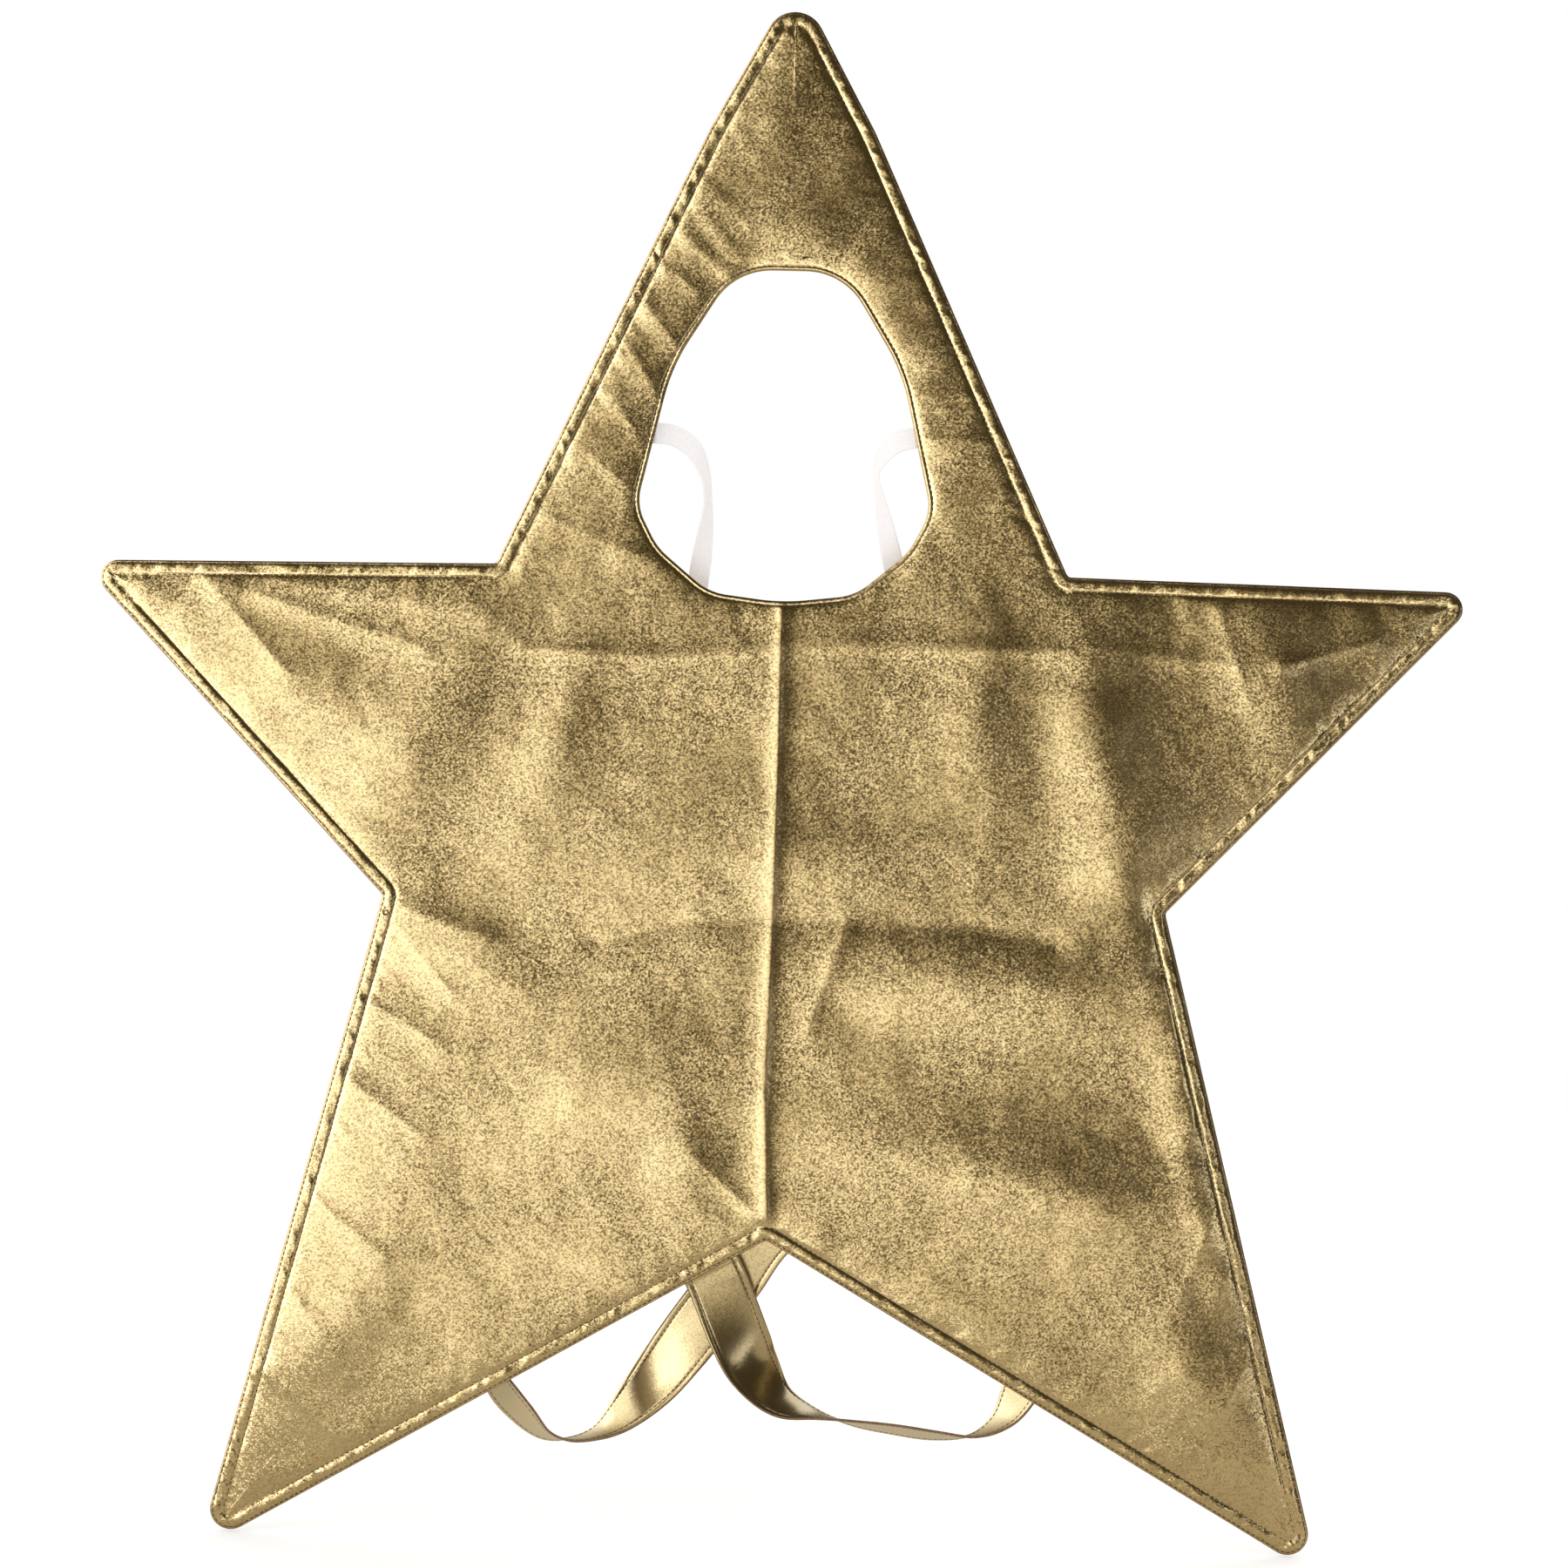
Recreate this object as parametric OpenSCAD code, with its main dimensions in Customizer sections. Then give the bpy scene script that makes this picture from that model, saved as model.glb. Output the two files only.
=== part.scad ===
// Padded star costume with a face opening, two elastic loops and two cloth straps.
// The star stands upright in the XZ plane and its front faces -Y. The origin is the centre of
// the face opening, halfway through the padding. Left and right are as seen from the front.

/* [Star outline] */
// Height of the top point's untrimmed corner
top_corner_z = 261.4; // [250:0.1:280]
// Half width of the top point where its sides begin to close in
crown_x = 47.5; // [44:0.5:50]
// Height where the top point's sides begin to close in
crown_z = 175; // [165:1:185]
// Half width at the corners above the arms
shoulder_x = 164; // [150:1:175]
// Height of the corners above the arms
shoulder_z = -77.5; // [-85:0.5:-70]
// Half span of the arms' untrimmed corners
arm_corner_x = 404; // [380:1:420]
// Height of the arms' untrimmed corners
arm_corner_z = -81; // [-90:1:-75]
// Half width at the waist corners below the arms
waist_x = 224.5; // [215:0.5:235]
// Height of the waist corners
waist_z = -269; // [-280:1:-260]
// Half spread of the legs' untrimmed corners
leg_corner_x = 322; // [300:1:340]
// Height of the legs' untrimmed corners
leg_corner_z = -648; // [-660:1:-630]
// Height of the corner between the legs
crotch_z = -462; // [-475:1:-455]
// Radius of the top tip
top_tip_r = 17; // [10:1:20]
// Radius of each arm tip
arm_tip_r = 10; // [6:0.5:12]
// Radius of each leg tip
leg_tip_r = 12; // [6:0.5:14]
// Radius in the corners between the points
inner_r = 3; // [2:0.5:5]

/* [Layers] */
// Thickness of the padding between the cloth layers
padding_t = 3; // [2:0.5:4]
// Thickness of the front cloth and of the lining
cloth_t = 0.5; // [0.3:0.1:0.8]
// Width of the facing strip round the back of the face opening
facing_w = 8; // [6:0.5:8]

/* [Stitching] */
// Width of a thread line
thread_w = 0.8; // [0.6:0.1:1.2]
// Height of a thread line above the cloth
thread_h = 0.3; // [0.2:0.1:0.5]
// Distance of the edge stitch from the edge
edge_stitch_d = 1.5; // [1.2:0.1:2.5]
// Distance of the hem stitch from the edge
hem_stitch_d = 8; // [6:0.5:12]

/* [Folds] */
// Height of the fold below the top point
top_fold_z = 105; // [102:1:110]
// Gap between the middle and each point along its fold
fold_gap = 3; // [2.6:0.1:4]

/* [Elastic loops] */
// Width of the elastic
elastic_w = 12; // [10:0.5:14]
// Thickness of the elastic
elastic_t = 1.2; // [1:0.1:1.6]
// Length of each sewn-down elastic end
elastic_end_len = 14; // [10:1:16]

/* [Cloth straps] */
// Width of the folded cloth strap
strap_w = 35; // [30:1:36]
// Thickness of the folded cloth strap
strap_t = 1.6; // [1.2:0.1:2]
// Length of each sewn-down strap end
strap_end_len = 18; // [14:1:24]

/* [Hidden] */

gold = [0.72, 0.61, 0.38];
lining_gold = [0.66, 0.56, 0.38];
wadding_white = [0.95, 0.95, 0.93];
thread_brown = [0.25, 0.15, 0.07];
elastic_white = [0.94, 0.92, 0.91];

half_t = padding_t / 2 + cloth_t;    // from the middle of the panel to its front or back
back_y = half_t;                     // the lining's outer face
far_away = 2000;                     // larger than the whole star

// Corners of the star, clockwise from the top as seen from the front, each as [x, z, radius].
right_corners = [
    [crown_x, crown_z, 100],
    [shoulder_x, shoulder_z, inner_r],
    [arm_corner_x, arm_corner_z, arm_tip_r],
    [waist_x, waist_z, inner_r],
    [leg_corner_x, leg_corner_z, leg_tip_r]
];
star_corners = concat(
    [[0, top_corner_z, top_tip_r]],
    right_corners,
    [[0, crotch_z, inner_r]],
    mirrored(right_corners)
);

// Corners of the face opening, clockwise from the top right, each as [x, z, radius].
opening_right = [
    [31, 94.5, 38],
    [66, 38, 110],
    [84.5, -42, 28],
    [72, -66, 38],
    [42, -91, 34]
];
opening_corners = concat(opening_right, [[0, -96, 120]], mirrored(opening_right));

// The same corners on the other side, listed so that the outline carries on clockwise.
function mirrored(c) = [for (i = [len(c) - 1:-1:0]) [-c[i][0], c[i][1], c[i][2]]];

function unit(v) = v / norm(v);
function cross2(a, b) = a[0] * b[1] - a[1] * b[0];
function xz(c) = [c[0], c[1]];

// Moves each corner of a clockwise outline inwards by d, keeping its edges parallel. An outer
// corner's radius shrinks by d and an inner corner's grows by d.
function inset(c, d) = [
    for (i = [0:len(c) - 1])
        let (
            p = xz(c[i]),
            u = unit(p - xz(c[(i + len(c) - 1) % len(c)])),
            v = unit(xz(c[(i + 1) % len(c)]) - p),
            m = [u[1], -u[0]],
            n = [v[1], -v[0]],
            q = p + (m + n) * d / (1 + m * n),
            r = cross2(u, v) < 0 ? max(c[i][2] - d, 0.6) : c[i][2] + d
        ) [q[0], q[1], r]
];

// Replaces each corner by an arc of its radius that meets both edges smoothly.
function rounded(c, steps = 8) = [
    for (i = [0:len(c) - 1])
        let (
            p = xz(c[i]),
            r = c[i][2],
            u = unit(xz(c[(i + len(c) - 1) % len(c)]) - p),
            v = unit(xz(c[(i + 1) % len(c)]) - p),
            half = acos(u * v) / 2,
            centre = p + unit(u + v) * r / sin(half),
            start = p + u * r / tan(half) - centre,
            stop = p + v * r / tan(half) - centre,
            a0 = atan2(start[1], start[0]),
            turn = atan2(cross2(start, stop), start * stop)
        )
        for (k = [0:steps]) centre + r * [cos(a0 + turn * k / steps), sin(a0 + turn * k / steps)]
];

// A flat shape drawn in X and Z, as thick as from y0 to y1.
module layer(y0, y1) {
    translate([0, y1, 0])
        rotate([90, 0, 0])
            linear_extrude(y1 - y0)
                children();
}

// The flat side of a fold line through p and q that lies to the left of that direction.
module beyond(p, q, gap) {
    translate(p)
        rotate(atan2(q[1] - p[1], q[0] - p[0]))
            translate([-far_away, gap])
                square([2 * far_away, far_away]);
}

// Fold lines, each directed so that its point of the star lies to the left.
folds = [
    ["top_point", [-shoulder_x, top_fold_z], [shoulder_x, top_fold_z]],
    ["right_arm", [shoulder_x, shoulder_z], [waist_x, waist_z]],
    ["right_leg", [waist_x, waist_z], [0, crotch_z]],
    ["left_leg", [0, crotch_z], [-waist_x, waist_z]],
    ["left_arm", [-waist_x, waist_z], [-shoulder_x, shoulder_z]]
];

// The part of the plane that belongs to one region of the star.
module region(name) {
    if (name == "torso") {
        difference() {
            translate([-far_away / 2, -far_away / 2]) square(far_away);
            for (f = folds) beyond(f[1], f[2], -fold_gap / 2);
        }
    } else {
        for (f = folds) if (f[0] == name) beyond(f[1], f[2], fold_gap / 2);
    }
}

// The star's outline moved inwards by d, without its opening.
module star(d = 0) {
    polygon(rounded(inset(star_corners, d)));
}

// The face opening grown outwards by d.
module opening(d = 0) {
    polygon(rounded(inset(opening_corners, -d)));
}

// One region of the star between two insets of its outline.
module star_part(name, d = 0) {
    intersection() {
        difference() {
            star(d);
            if (name == "torso") opening(cloth_t);
        }
        region(name);
    }
}

// Front cloth: a face with a thin wall that wraps the edge of the padding.
module front_cloth(name) {
    color(gold) {
        layer(-half_t, -padding_t / 2) star_part(name);
        layer(-padding_t / 2, half_t)
            intersection() {
                difference() {
                    star();
                    star(cloth_t);
                }
                region(name);
            }
    }
}

// Padding, which fills the front cloth up to the lining.
module padding(name) {
    color(wadding_white)
        layer(-padding_t / 2, padding_t / 2) star_part(name, cloth_t);
}

// Lining, which closes the back.
module lining(name) {
    color(lining_gold)
        layer(padding_t / 2, half_t) star_part(name, cloth_t);
}

// A line of thread that follows the outline at a distance d.
module thread_line(name, d) {
    layer(-half_t - thread_h, -half_t)
        intersection() {
            difference() {
                star(d - thread_w / 2);
                star(d + thread_w / 2);
            }
            region(name);
        }
}

// Both thread lines of one region.
module topstitch(name) {
    color(thread_brown) {
        thread_line(name, edge_stitch_d);
        thread_line(name, hem_stitch_d);
    }
}

// Facing: a thin wall through the opening and a strip round it on the back.
module face_facing() {
    color(gold) {
        layer(-half_t, back_y + cloth_t)
            difference() {
                opening(cloth_t);
                opening();
            }
        layer(back_y, back_y + cloth_t)
            difference() {
                opening(facing_w);
                opening(cloth_t);
            }
    }
}

// The stitch that holds the facing, just outside the opening.
module face_stitch() {
    color(thread_brown)
        layer(-half_t - thread_h, -half_t)
            difference() {
                opening(2.5 + thread_w / 2);
                opening(2.5 - thread_w / 2);
            }
}

// A point between b and c on the smooth curve through a, b, c and d, at the share t of the way.
function spline(a, b, c, d, t) =
    b + t * (c - a) / 2
    + t * t * (2 * a - 5 * b + 4 * c - d) / 2
    + t * t * t * (3 * b - a - 3 * c + d) / 2;

// The smooth curve through a route's points, with a few steps from each to the next.
function smooth(route, steps) = [
    for (i = [0:len(route) - 2])
        for (k = [0:steps - (i < len(route) - 2 ? 1 : 0)])
            spline(route[max(i - 1, 0)], route[i], route[i + 1],
                   route[min(i + 2, len(route) - 1)], k / steps)
];

// The rectangle of a flat band at one place, where it heads along t, turned by twist degrees.
// At twist 0 the band's width lies in the plane of the star, and at 90 it lies along Y.
function band_ring(p, t, w, h) =
    let (
        a = unit(cross(t, [0, 1, 0])),
        b = cross(a, t),
        wide = (cos(p[3]) * a + sin(p[3]) * b) * w / 2,
        deep = (cos(p[3]) * b - sin(p[3]) * a) * h / 2,
        c = [p[0], p[1], p[2]]
    )
    [c - wide - deep, c + wide - deep, c + wide + deep, c - wide + deep];

function place(p) = [p[0], p[1], p[2]];

// A flat band of width w and thickness h along a route of [x, y, z, twist] points.
module band(route, w, h, steps = 2) {
    path = smooth(route, steps);
    n = len(path);
    rings = [
        for (i = [0:n - 1])
            band_ring(path[i], unit(place(path[min(i + 1, n - 1)]) - place(path[max(i - 1, 0)])), w, h)
    ];
    // each side is split along the same diagonal as the one opposite, so that a twist keeps the
    // band's thickness
    sides = [
        for (i = [0:n - 2])
            for (j = [0:3])
                let (a = 4 * i + j, b = 4 * i + (j + 1) % 4, c = b + 4, d = a + 4)
                for (f = j < 2 ? [[a, b, c], [a, c, d]] : [[a, b, d], [b, c, d]]) f
    ];
    last = 4 * (n - 1);
    polyhedron(
        points = [for (r = rings) for (p = r) p],
        faces = concat([[3, 2, 1], [3, 1, 0]], sides,
                       [[last, last + 1, last + 2], [last, last + 2, last + 3]])
    );
}

// Where each elastic comes away from its sewn ends: just off the lining at the top, and further
// off at the bottom so that the loop can swing.
elastic_top_y = 3.4;
elastic_top_x = 86.5;
elastic_bottom = [92, 9, -238];

elastic_left_route = [
    [-elastic_top_x, elastic_top_y, 0, 0],
    [-76, 5, 0, 0],
    [-64, 9, -1, 5],
    [-53, 13, -8, 25],
    [-46, 16, -22, 60],
    [-44, 18, -38, 68],
    [-45, 18, -55, 45],
    [-48, 18, -80, 8],
    [-51, 18, -100, 0],
    [-62, 16, -150, 0],
    [-76, 13, -195, 0],
    [-86, 11.5, -218, 0],
    [-91, 10, -230, 0],
    [-elastic_bottom[0], elastic_bottom[1], elastic_bottom[2], 0]
];

elastic_right_route = [
    [elastic_top_x, elastic_top_y, 1, 0],
    [76, 5, 1, 0],
    [64, 8, -2, -10],
    [56, 11, -10, -45],
    [53, 13, -20, -80],
    [55, 14, -32, -70],
    [59, 15, -50, -40],
    [65, 16, -76, -5],
    [70, 16, -100, 0],
    [78, 15, -150, 0],
    [86, 12, -200, 0],
    [91, 10, -230, 0],
    [elastic_bottom[0], elastic_bottom[1], elastic_bottom[2], 0]
];

module elastic_left() {
    color(elastic_white) band(elastic_left_route, elastic_w, elastic_t);
}

module elastic_right() {
    color(elastic_white) band(elastic_right_route, elastic_w, elastic_t);
}

// The two sewn-down ends of one elastic: a doubled end beside the opening, and one below it that
// rises off the lining towards the loop. side is -1 for left and 1 for right.
elastic_end_t = 2;
elastic_end_x = 88;
elastic_end_z = -250;
rise_clear = 1.5;    // from the top of the rise to the loop's own end

module elastic_ends(side) {
    top_z = side < 0 ? 0 : 1;
    foot = [side * elastic_bottom[0], elastic_end_z];
    color(elastic_white) {
        translate([side > 0 ? elastic_end_x : -elastic_end_x - elastic_end_len, back_y,
                   top_z - elastic_w / 2])
            cube([elastic_end_len, elastic_end_t, elastic_w]);
        translate([foot[0] - elastic_w / 2, back_y, foot[1] - elastic_end_len])
            cube([elastic_w, elastic_end_t, elastic_end_len]);
        band([
            [foot[0], back_y + elastic_t / 2 + 0.1, foot[1] - 4, 0],
            [foot[0], back_y + 2.5, foot[1] + 2, 0],
            [foot[0], elastic_bottom[1] - 1, elastic_bottom[2] - rise_clear, 0]
        ], elastic_w, elastic_t);
    }
}

module elastic_ends_left() elastic_ends(-1);
module elastic_ends_right() elastic_ends(1);

// Both straps leave their sewn ends at the same height, which is the line they swing about.
strap_top_z = -331;
strap_top_y = 3.2;
strap_inner_x = 60;
strap_outer_x = 118;

// From the inner end, right of the middle, down and left past the crotch, round the bottom of
// the loop and up behind the left leg.
strap_left_route = [
    [strap_inner_x, strap_top_y, strap_top_z, 0],
    [strap_inner_x, 4.6, -345, 0],
    [58, 7.5, -372, 0],
    [48, 11, -404, 0],
    [27, 14, -435, 0],
    [-1, 17, -461, 0],
    [-17, 18.5, -485, 0],
    [-32, 20, -506, -5],
    [-48, 21, -528, -20],
    [-64, 22, -549, -37],
    [-82, 23, -568, -62],
    [-97, 23.5, -579, -86],
    [-112, 24, -583, -98],
    [-127, 24, -580, -111],
    [-140, 23, -568, -122],
    [-154, 23, -551, -122],
    [-170, 22, -520, -98],
    [-181, 20, -470, -60],
    [-173, 16, -420, -28],
    [-142, 10, -382, -6],
    [-121, 6, -354, 0],
    [-strap_outer_x, 4.2, -341, 0],
    [-strap_outer_x, strap_top_y, strap_top_z, 0]
];

// From the inner end, left of the middle, down in front of the other strap, along the bottom of
// the loop and up behind the right leg.
strap_right_route = [
    [-strap_inner_x, strap_top_y, strap_top_z, 0],
    [-strap_inner_x, 4.2, -345, 0],
    [-60, 5.5, -372, 0],
    [-56, 7, -404, 0],
    [-47, 8, -440, 0],
    [-34, 9, -474, 0],
    [-26, 9.5, -491, 0],
    [-13, 11, -522, 15],
    [-4, 13, -539, 35],
    [10, 16, -555, 62],
    [29, 19, -563, 88],
    [52, 21, -569, 103],
    [78, 23, -573, 108],
    [101, 24, -576, 107],
    [122, 25, -576, 98],
    [137, 26, -568, 82],
    [148, 26, -552, 62],
    [164, 25, -515, 44],
    [176, 22, -470, 28],
    [171, 17, -420, 12],
    [142, 10, -382, 2],
    [121, 6, -354, 0],
    [strap_outer_x, 4.2, -341, 0],
    [strap_outer_x, strap_top_y, strap_top_z, 0]
];

module strap_left() {
    color(gold) band(strap_left_route, strap_w, strap_t);
}

module strap_right() {
    color(gold) band(strap_right_route, strap_w, strap_t);
}

strap_end_gap = 2;    // between each sewn end and the strap that hangs from it

module strap_end(x) {
    translate([x - strap_w / 2, back_y, strap_top_z + strap_end_gap])
        cube([strap_w, strap_t, strap_end_len]);
}

// The sewn-down ends of each strap.
module strap_ends_left() {
    color(gold) for (x = [strap_inner_x, -strap_outer_x]) strap_end(x);
}

module strap_ends_right() {
    color(gold) for (x = [-strap_inner_x, strap_outer_x]) strap_end(x);
}

// A sewn rectangle of thread, w by h, centred at [x, z] on a surface at height y.
module tack(x, z, w, h, y) {
    translate([x, y, z])
        difference() {
            translate([-w / 2, 0, -h / 2]) cube([w, thread_h, h]);
            translate([-w / 2 + thread_w, -1, -h / 2 + thread_w])
                cube([w - 2 * thread_w, 2, h - 2 * thread_w]);
        }
}

// Thread that holds all eight sewn-down ends.
tack_inset = 2;    // from the edge of an end to its thread

module bar_tacks() {
    elastic_y = back_y + elastic_end_t;
    strap_y = back_y + strap_t;
    color(thread_brown) {
        for (side = [-1, 1]) {
            tack(side * (elastic_end_x + elastic_end_len / 2), side < 0 ? 0 : 1,
                 elastic_end_len - 2 * tack_inset, elastic_w - 2 * tack_inset, elastic_y);
            tack(side * elastic_bottom[0], elastic_end_z - elastic_end_len / 2 - 3,
                 elastic_w - 2 * tack_inset, elastic_end_len / 2 - 1, elastic_y);
            for (x = [strap_inner_x, strap_outer_x])
                tack(side * x, strap_top_z + strap_end_gap + strap_end_len / 2,
                     strap_w - 3 * tack_inset, strap_end_len - 3 * tack_inset, strap_y);
        }
    }
}

// A blank label on the lining.
label_w = 22;
label_h = 34;

module care_label() {
    color([0.97, 0.97, 0.96])
        translate([-label_w / 2, back_y, -158]) cube([label_w, 0.4, label_h]);
}

// A knot of thread on the hem at the left waist corner.
knot_r = 2.2;

module thread_knot() {
    color(thread_brown)
        translate([-222, -half_t, -279])
            rotate([90, 0, 0])
                rotate_extrude($fn = 32) translate([knot_r, 0.3]) circle(r = 0.3, $fn = 16);
}

module front_torso() front_cloth("torso");
module front_top_point() front_cloth("top_point");
module front_left_arm() front_cloth("left_arm");
module front_right_arm() front_cloth("right_arm");
module front_left_leg() front_cloth("left_leg");
module front_right_leg() front_cloth("right_leg");
module padding_torso() padding("torso");
module padding_top_point() padding("top_point");
module padding_left_arm() padding("left_arm");
module padding_right_arm() padding("right_arm");
module padding_left_leg() padding("left_leg");
module padding_right_leg() padding("right_leg");
module lining_torso() lining("torso");
module lining_top_point() lining("top_point");
module lining_left_arm() lining("left_arm");
module lining_right_arm() lining("right_arm");
module lining_left_leg() lining("left_leg");
module lining_right_leg() lining("right_leg");
module topstitch_torso() topstitch("torso");
module topstitch_top_point() topstitch("top_point");
module topstitch_left_arm() topstitch("left_arm");
module topstitch_right_arm() topstitch("right_arm");
module topstitch_left_leg() topstitch("left_leg");
module topstitch_right_leg() topstitch("right_leg");

front_torso();
front_top_point();
front_left_arm();
front_right_arm();
front_left_leg();
front_right_leg();
padding_torso();
padding_top_point();
padding_left_arm();
padding_right_arm();
padding_left_leg();
padding_right_leg();
lining_torso();
lining_top_point();
lining_left_arm();
lining_right_arm();
lining_left_leg();
lining_right_leg();
topstitch_torso();
topstitch_top_point();
topstitch_left_arm();
topstitch_right_arm();
topstitch_left_leg();
topstitch_right_leg();
face_facing();
face_stitch();
elastic_left();
elastic_right();
elastic_ends_left();
elastic_ends_right();
strap_left();
strap_right();
strap_ends_left();
strap_ends_right();
bar_tacks();
care_label();
thread_knot();
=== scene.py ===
"""Looks for a padded gold star costume: cloth, padding, lining, stitching, elastics and straps.

Sizes in the tables are millimetres in the star's own plane, x to the right and z up, and y runs
from the front, which is negative, to the back. Meshes are made in metres.
"""
import logging
import math
from dataclasses import dataclass, field
from enum import Enum

import bmesh
import bpy
import numpy as np
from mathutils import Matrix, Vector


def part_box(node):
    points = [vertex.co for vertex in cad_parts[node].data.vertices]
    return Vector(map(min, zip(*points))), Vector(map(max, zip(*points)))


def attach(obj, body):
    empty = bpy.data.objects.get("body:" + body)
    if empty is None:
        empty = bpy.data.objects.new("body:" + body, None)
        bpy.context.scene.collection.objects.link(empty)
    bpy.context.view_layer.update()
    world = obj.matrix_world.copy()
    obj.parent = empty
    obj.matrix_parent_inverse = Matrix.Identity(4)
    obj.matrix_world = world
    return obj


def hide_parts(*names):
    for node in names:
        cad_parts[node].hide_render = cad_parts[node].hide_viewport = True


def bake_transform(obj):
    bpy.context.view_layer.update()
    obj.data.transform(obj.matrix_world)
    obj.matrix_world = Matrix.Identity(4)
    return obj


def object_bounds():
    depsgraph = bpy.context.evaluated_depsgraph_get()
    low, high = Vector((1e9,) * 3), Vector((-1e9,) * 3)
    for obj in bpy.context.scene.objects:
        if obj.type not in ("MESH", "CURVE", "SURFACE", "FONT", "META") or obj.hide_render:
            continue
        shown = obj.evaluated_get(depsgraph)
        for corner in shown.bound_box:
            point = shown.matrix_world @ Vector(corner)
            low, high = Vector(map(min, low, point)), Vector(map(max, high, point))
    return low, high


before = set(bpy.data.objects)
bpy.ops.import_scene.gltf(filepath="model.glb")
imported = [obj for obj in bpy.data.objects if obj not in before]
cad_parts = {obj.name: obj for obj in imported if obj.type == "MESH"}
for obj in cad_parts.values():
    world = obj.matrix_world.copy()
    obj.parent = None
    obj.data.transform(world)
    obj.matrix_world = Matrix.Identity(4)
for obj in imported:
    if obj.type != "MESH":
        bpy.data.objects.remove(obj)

CAD_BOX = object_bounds()
LOG = logging.getLogger("star")
MM = 0.001
SEED = 7
Array = np.ndarray


# ---------------------------------------------------------------------------- numbers of the star
RIGHT_CORNERS = np.array([
    [47.5, 175, 100], [164, -77.5, 3], [404, -81, 10], [224.5, -269, 3], [322, -648, 12],
])
OPENING_RIGHT = np.array([
    [31, 94.5, 38], [66, 38, 110], [84.5, -42, 28], [72, -66, 38], [42, -91, 34],
])
TOP_CORNER = (0, 261.4, 17)
CROTCH_CORNER = (0, -462, 3)
CHIN_CORNER = (0, -96, 120)
TOP_FOLD_Z = 105
EDGE_STITCH = 1.5
HEM_STITCH = 8.0
FACE_STITCH = 2.5

# Distances from an edge at which the front cloth has points, close together over the stitches.
EDGE_STEPS = np.array([0, .12, .35, .7, 1.1, 1.5, 1.9, 2.5, 3.3, 4.2, 5.2, 6.2, 7.0, 7.6, 8.0,
                       8.4, 9.0, 10, 11.5, 13.5, 16, 20])
RIM_STEPS = np.array([0, .12, .35, .7, 1.1, 1.6, 2.1, 2.5, 2.9, 3.5, 4.5, 6, 8])
WRAP_STEPS = np.array([.2, .6, 1.2])
COARSE_STEPS = np.array([0, .4, 1.0, 1.5, 2.0, 4.5, 7.2, 8.0, 8.8, 13])
PLAIN_STEPS = np.array([0, 1.0, 3.0, 8.0])


class Side(Enum):
    """The two faces of the panel, with the sign of y on each."""

    FRONT = -1
    BACK = 1


@dataclass(frozen=True)
class Crease:
    """A pressed fold along a route. height is above the cloth, or below it when negative."""

    route: tuple
    height: float
    reach: float


@dataclass(frozen=True)
class Swell:
    """A soft oval rise of the padding, turned by turn degrees."""

    x: float
    z: float
    long: float
    short: float
    turn: float
    height: float


CREASES = (
    Crease(((0, -100), (0, -190), (-1, -280), (-3, -375), (0, -450)), 1.7, 4.5),
    Crease(((-148, -125), (-68, -128), (32, -118), (112, -120), (167, -120)), 1.2, 6),
    Crease(((-99, -295), (-49, -282), (1, -278), (56, -280), (116, -280), (161, -289)), -1.4, 8),
    Crease(((42, -282), (34, -304), (22, -340)), 1.2, 6),
    Crease(((-217, -275), (-164, -292)), 1.1, 7),
    Crease(((-219, -285), (-183, -325)), 0.75, 7),
    Crease(((-230, -331), (-187, -355)), 0.75, 6),
    Crease(((-244, -374), (-201, -405)), 0.75, 6),
    Crease(((-258, -446), (-219, -476)), 0.75, 6),
    Crease(((-271, -497), (-238, -546)), 0.75, 6),
    Crease(((-285, -542), (-244, -579)), 0.75, 6),
    Crease(((287, -126), (339, -111)), 1.1, 5),
    Crease(((177, -117), (262, -126)), 0.81, 7),
    Crease(((251, -94), (268, -144)), 0.68, 7),
    Crease(((-68, 146), (-28, 99)), 0.73, 5),
    Crease(((-75, 126), (-34, 90)), 0.73, 5),
    Crease(((-55, 149), (-21, 118)), 0.49, 5),
    Crease(((-83, 105), (-53, 81)), 0.57, 5),
    Crease(((-90, 83), (-59, 44)), 0.57, 5),
    Crease(((-100, 63), (-69, 13)), 0.65, 5),
    Crease(((-109, 37), (-78, -14)), 0.57, 5),
    Crease(((-126, -3), (-83, -37)), 0.49, 6),
    Crease(((-140, -48), (-79, -72)), 0.49, 7),
    Crease(((80, 79), (115, 75)), 0.49, 5),
    Crease(((78, 52), (118, 57)), 0.57, 5),
    Crease(((83, 24), (128, 28)), 0.57, 5),
    Crease(((87, 0), (139, -2)), 0.49, 5),
    Crease(((90, -43), (145, -27)), 0.49, 6),
    Crease(((-331, -89), (-283, -142)), 0.75, 6),
    Crease(((-316, -94), (-203, -128)), 1.1, 8),
    Crease(((-284, -91), (-168, -107)), 0.81, 8),
    Crease(((-5, -448), (-41, -416)), 0.75, 7),
    Crease(((226, -310), (243, -389)), 1.1, 6),
    Crease(((257, -439), (236, -494)), 0.75, 6),
    Crease(((282, -513), (263, -554)), 0.81, 6),
    Crease(((39, 101), (71, 121)), 0.73, 6),
)
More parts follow.
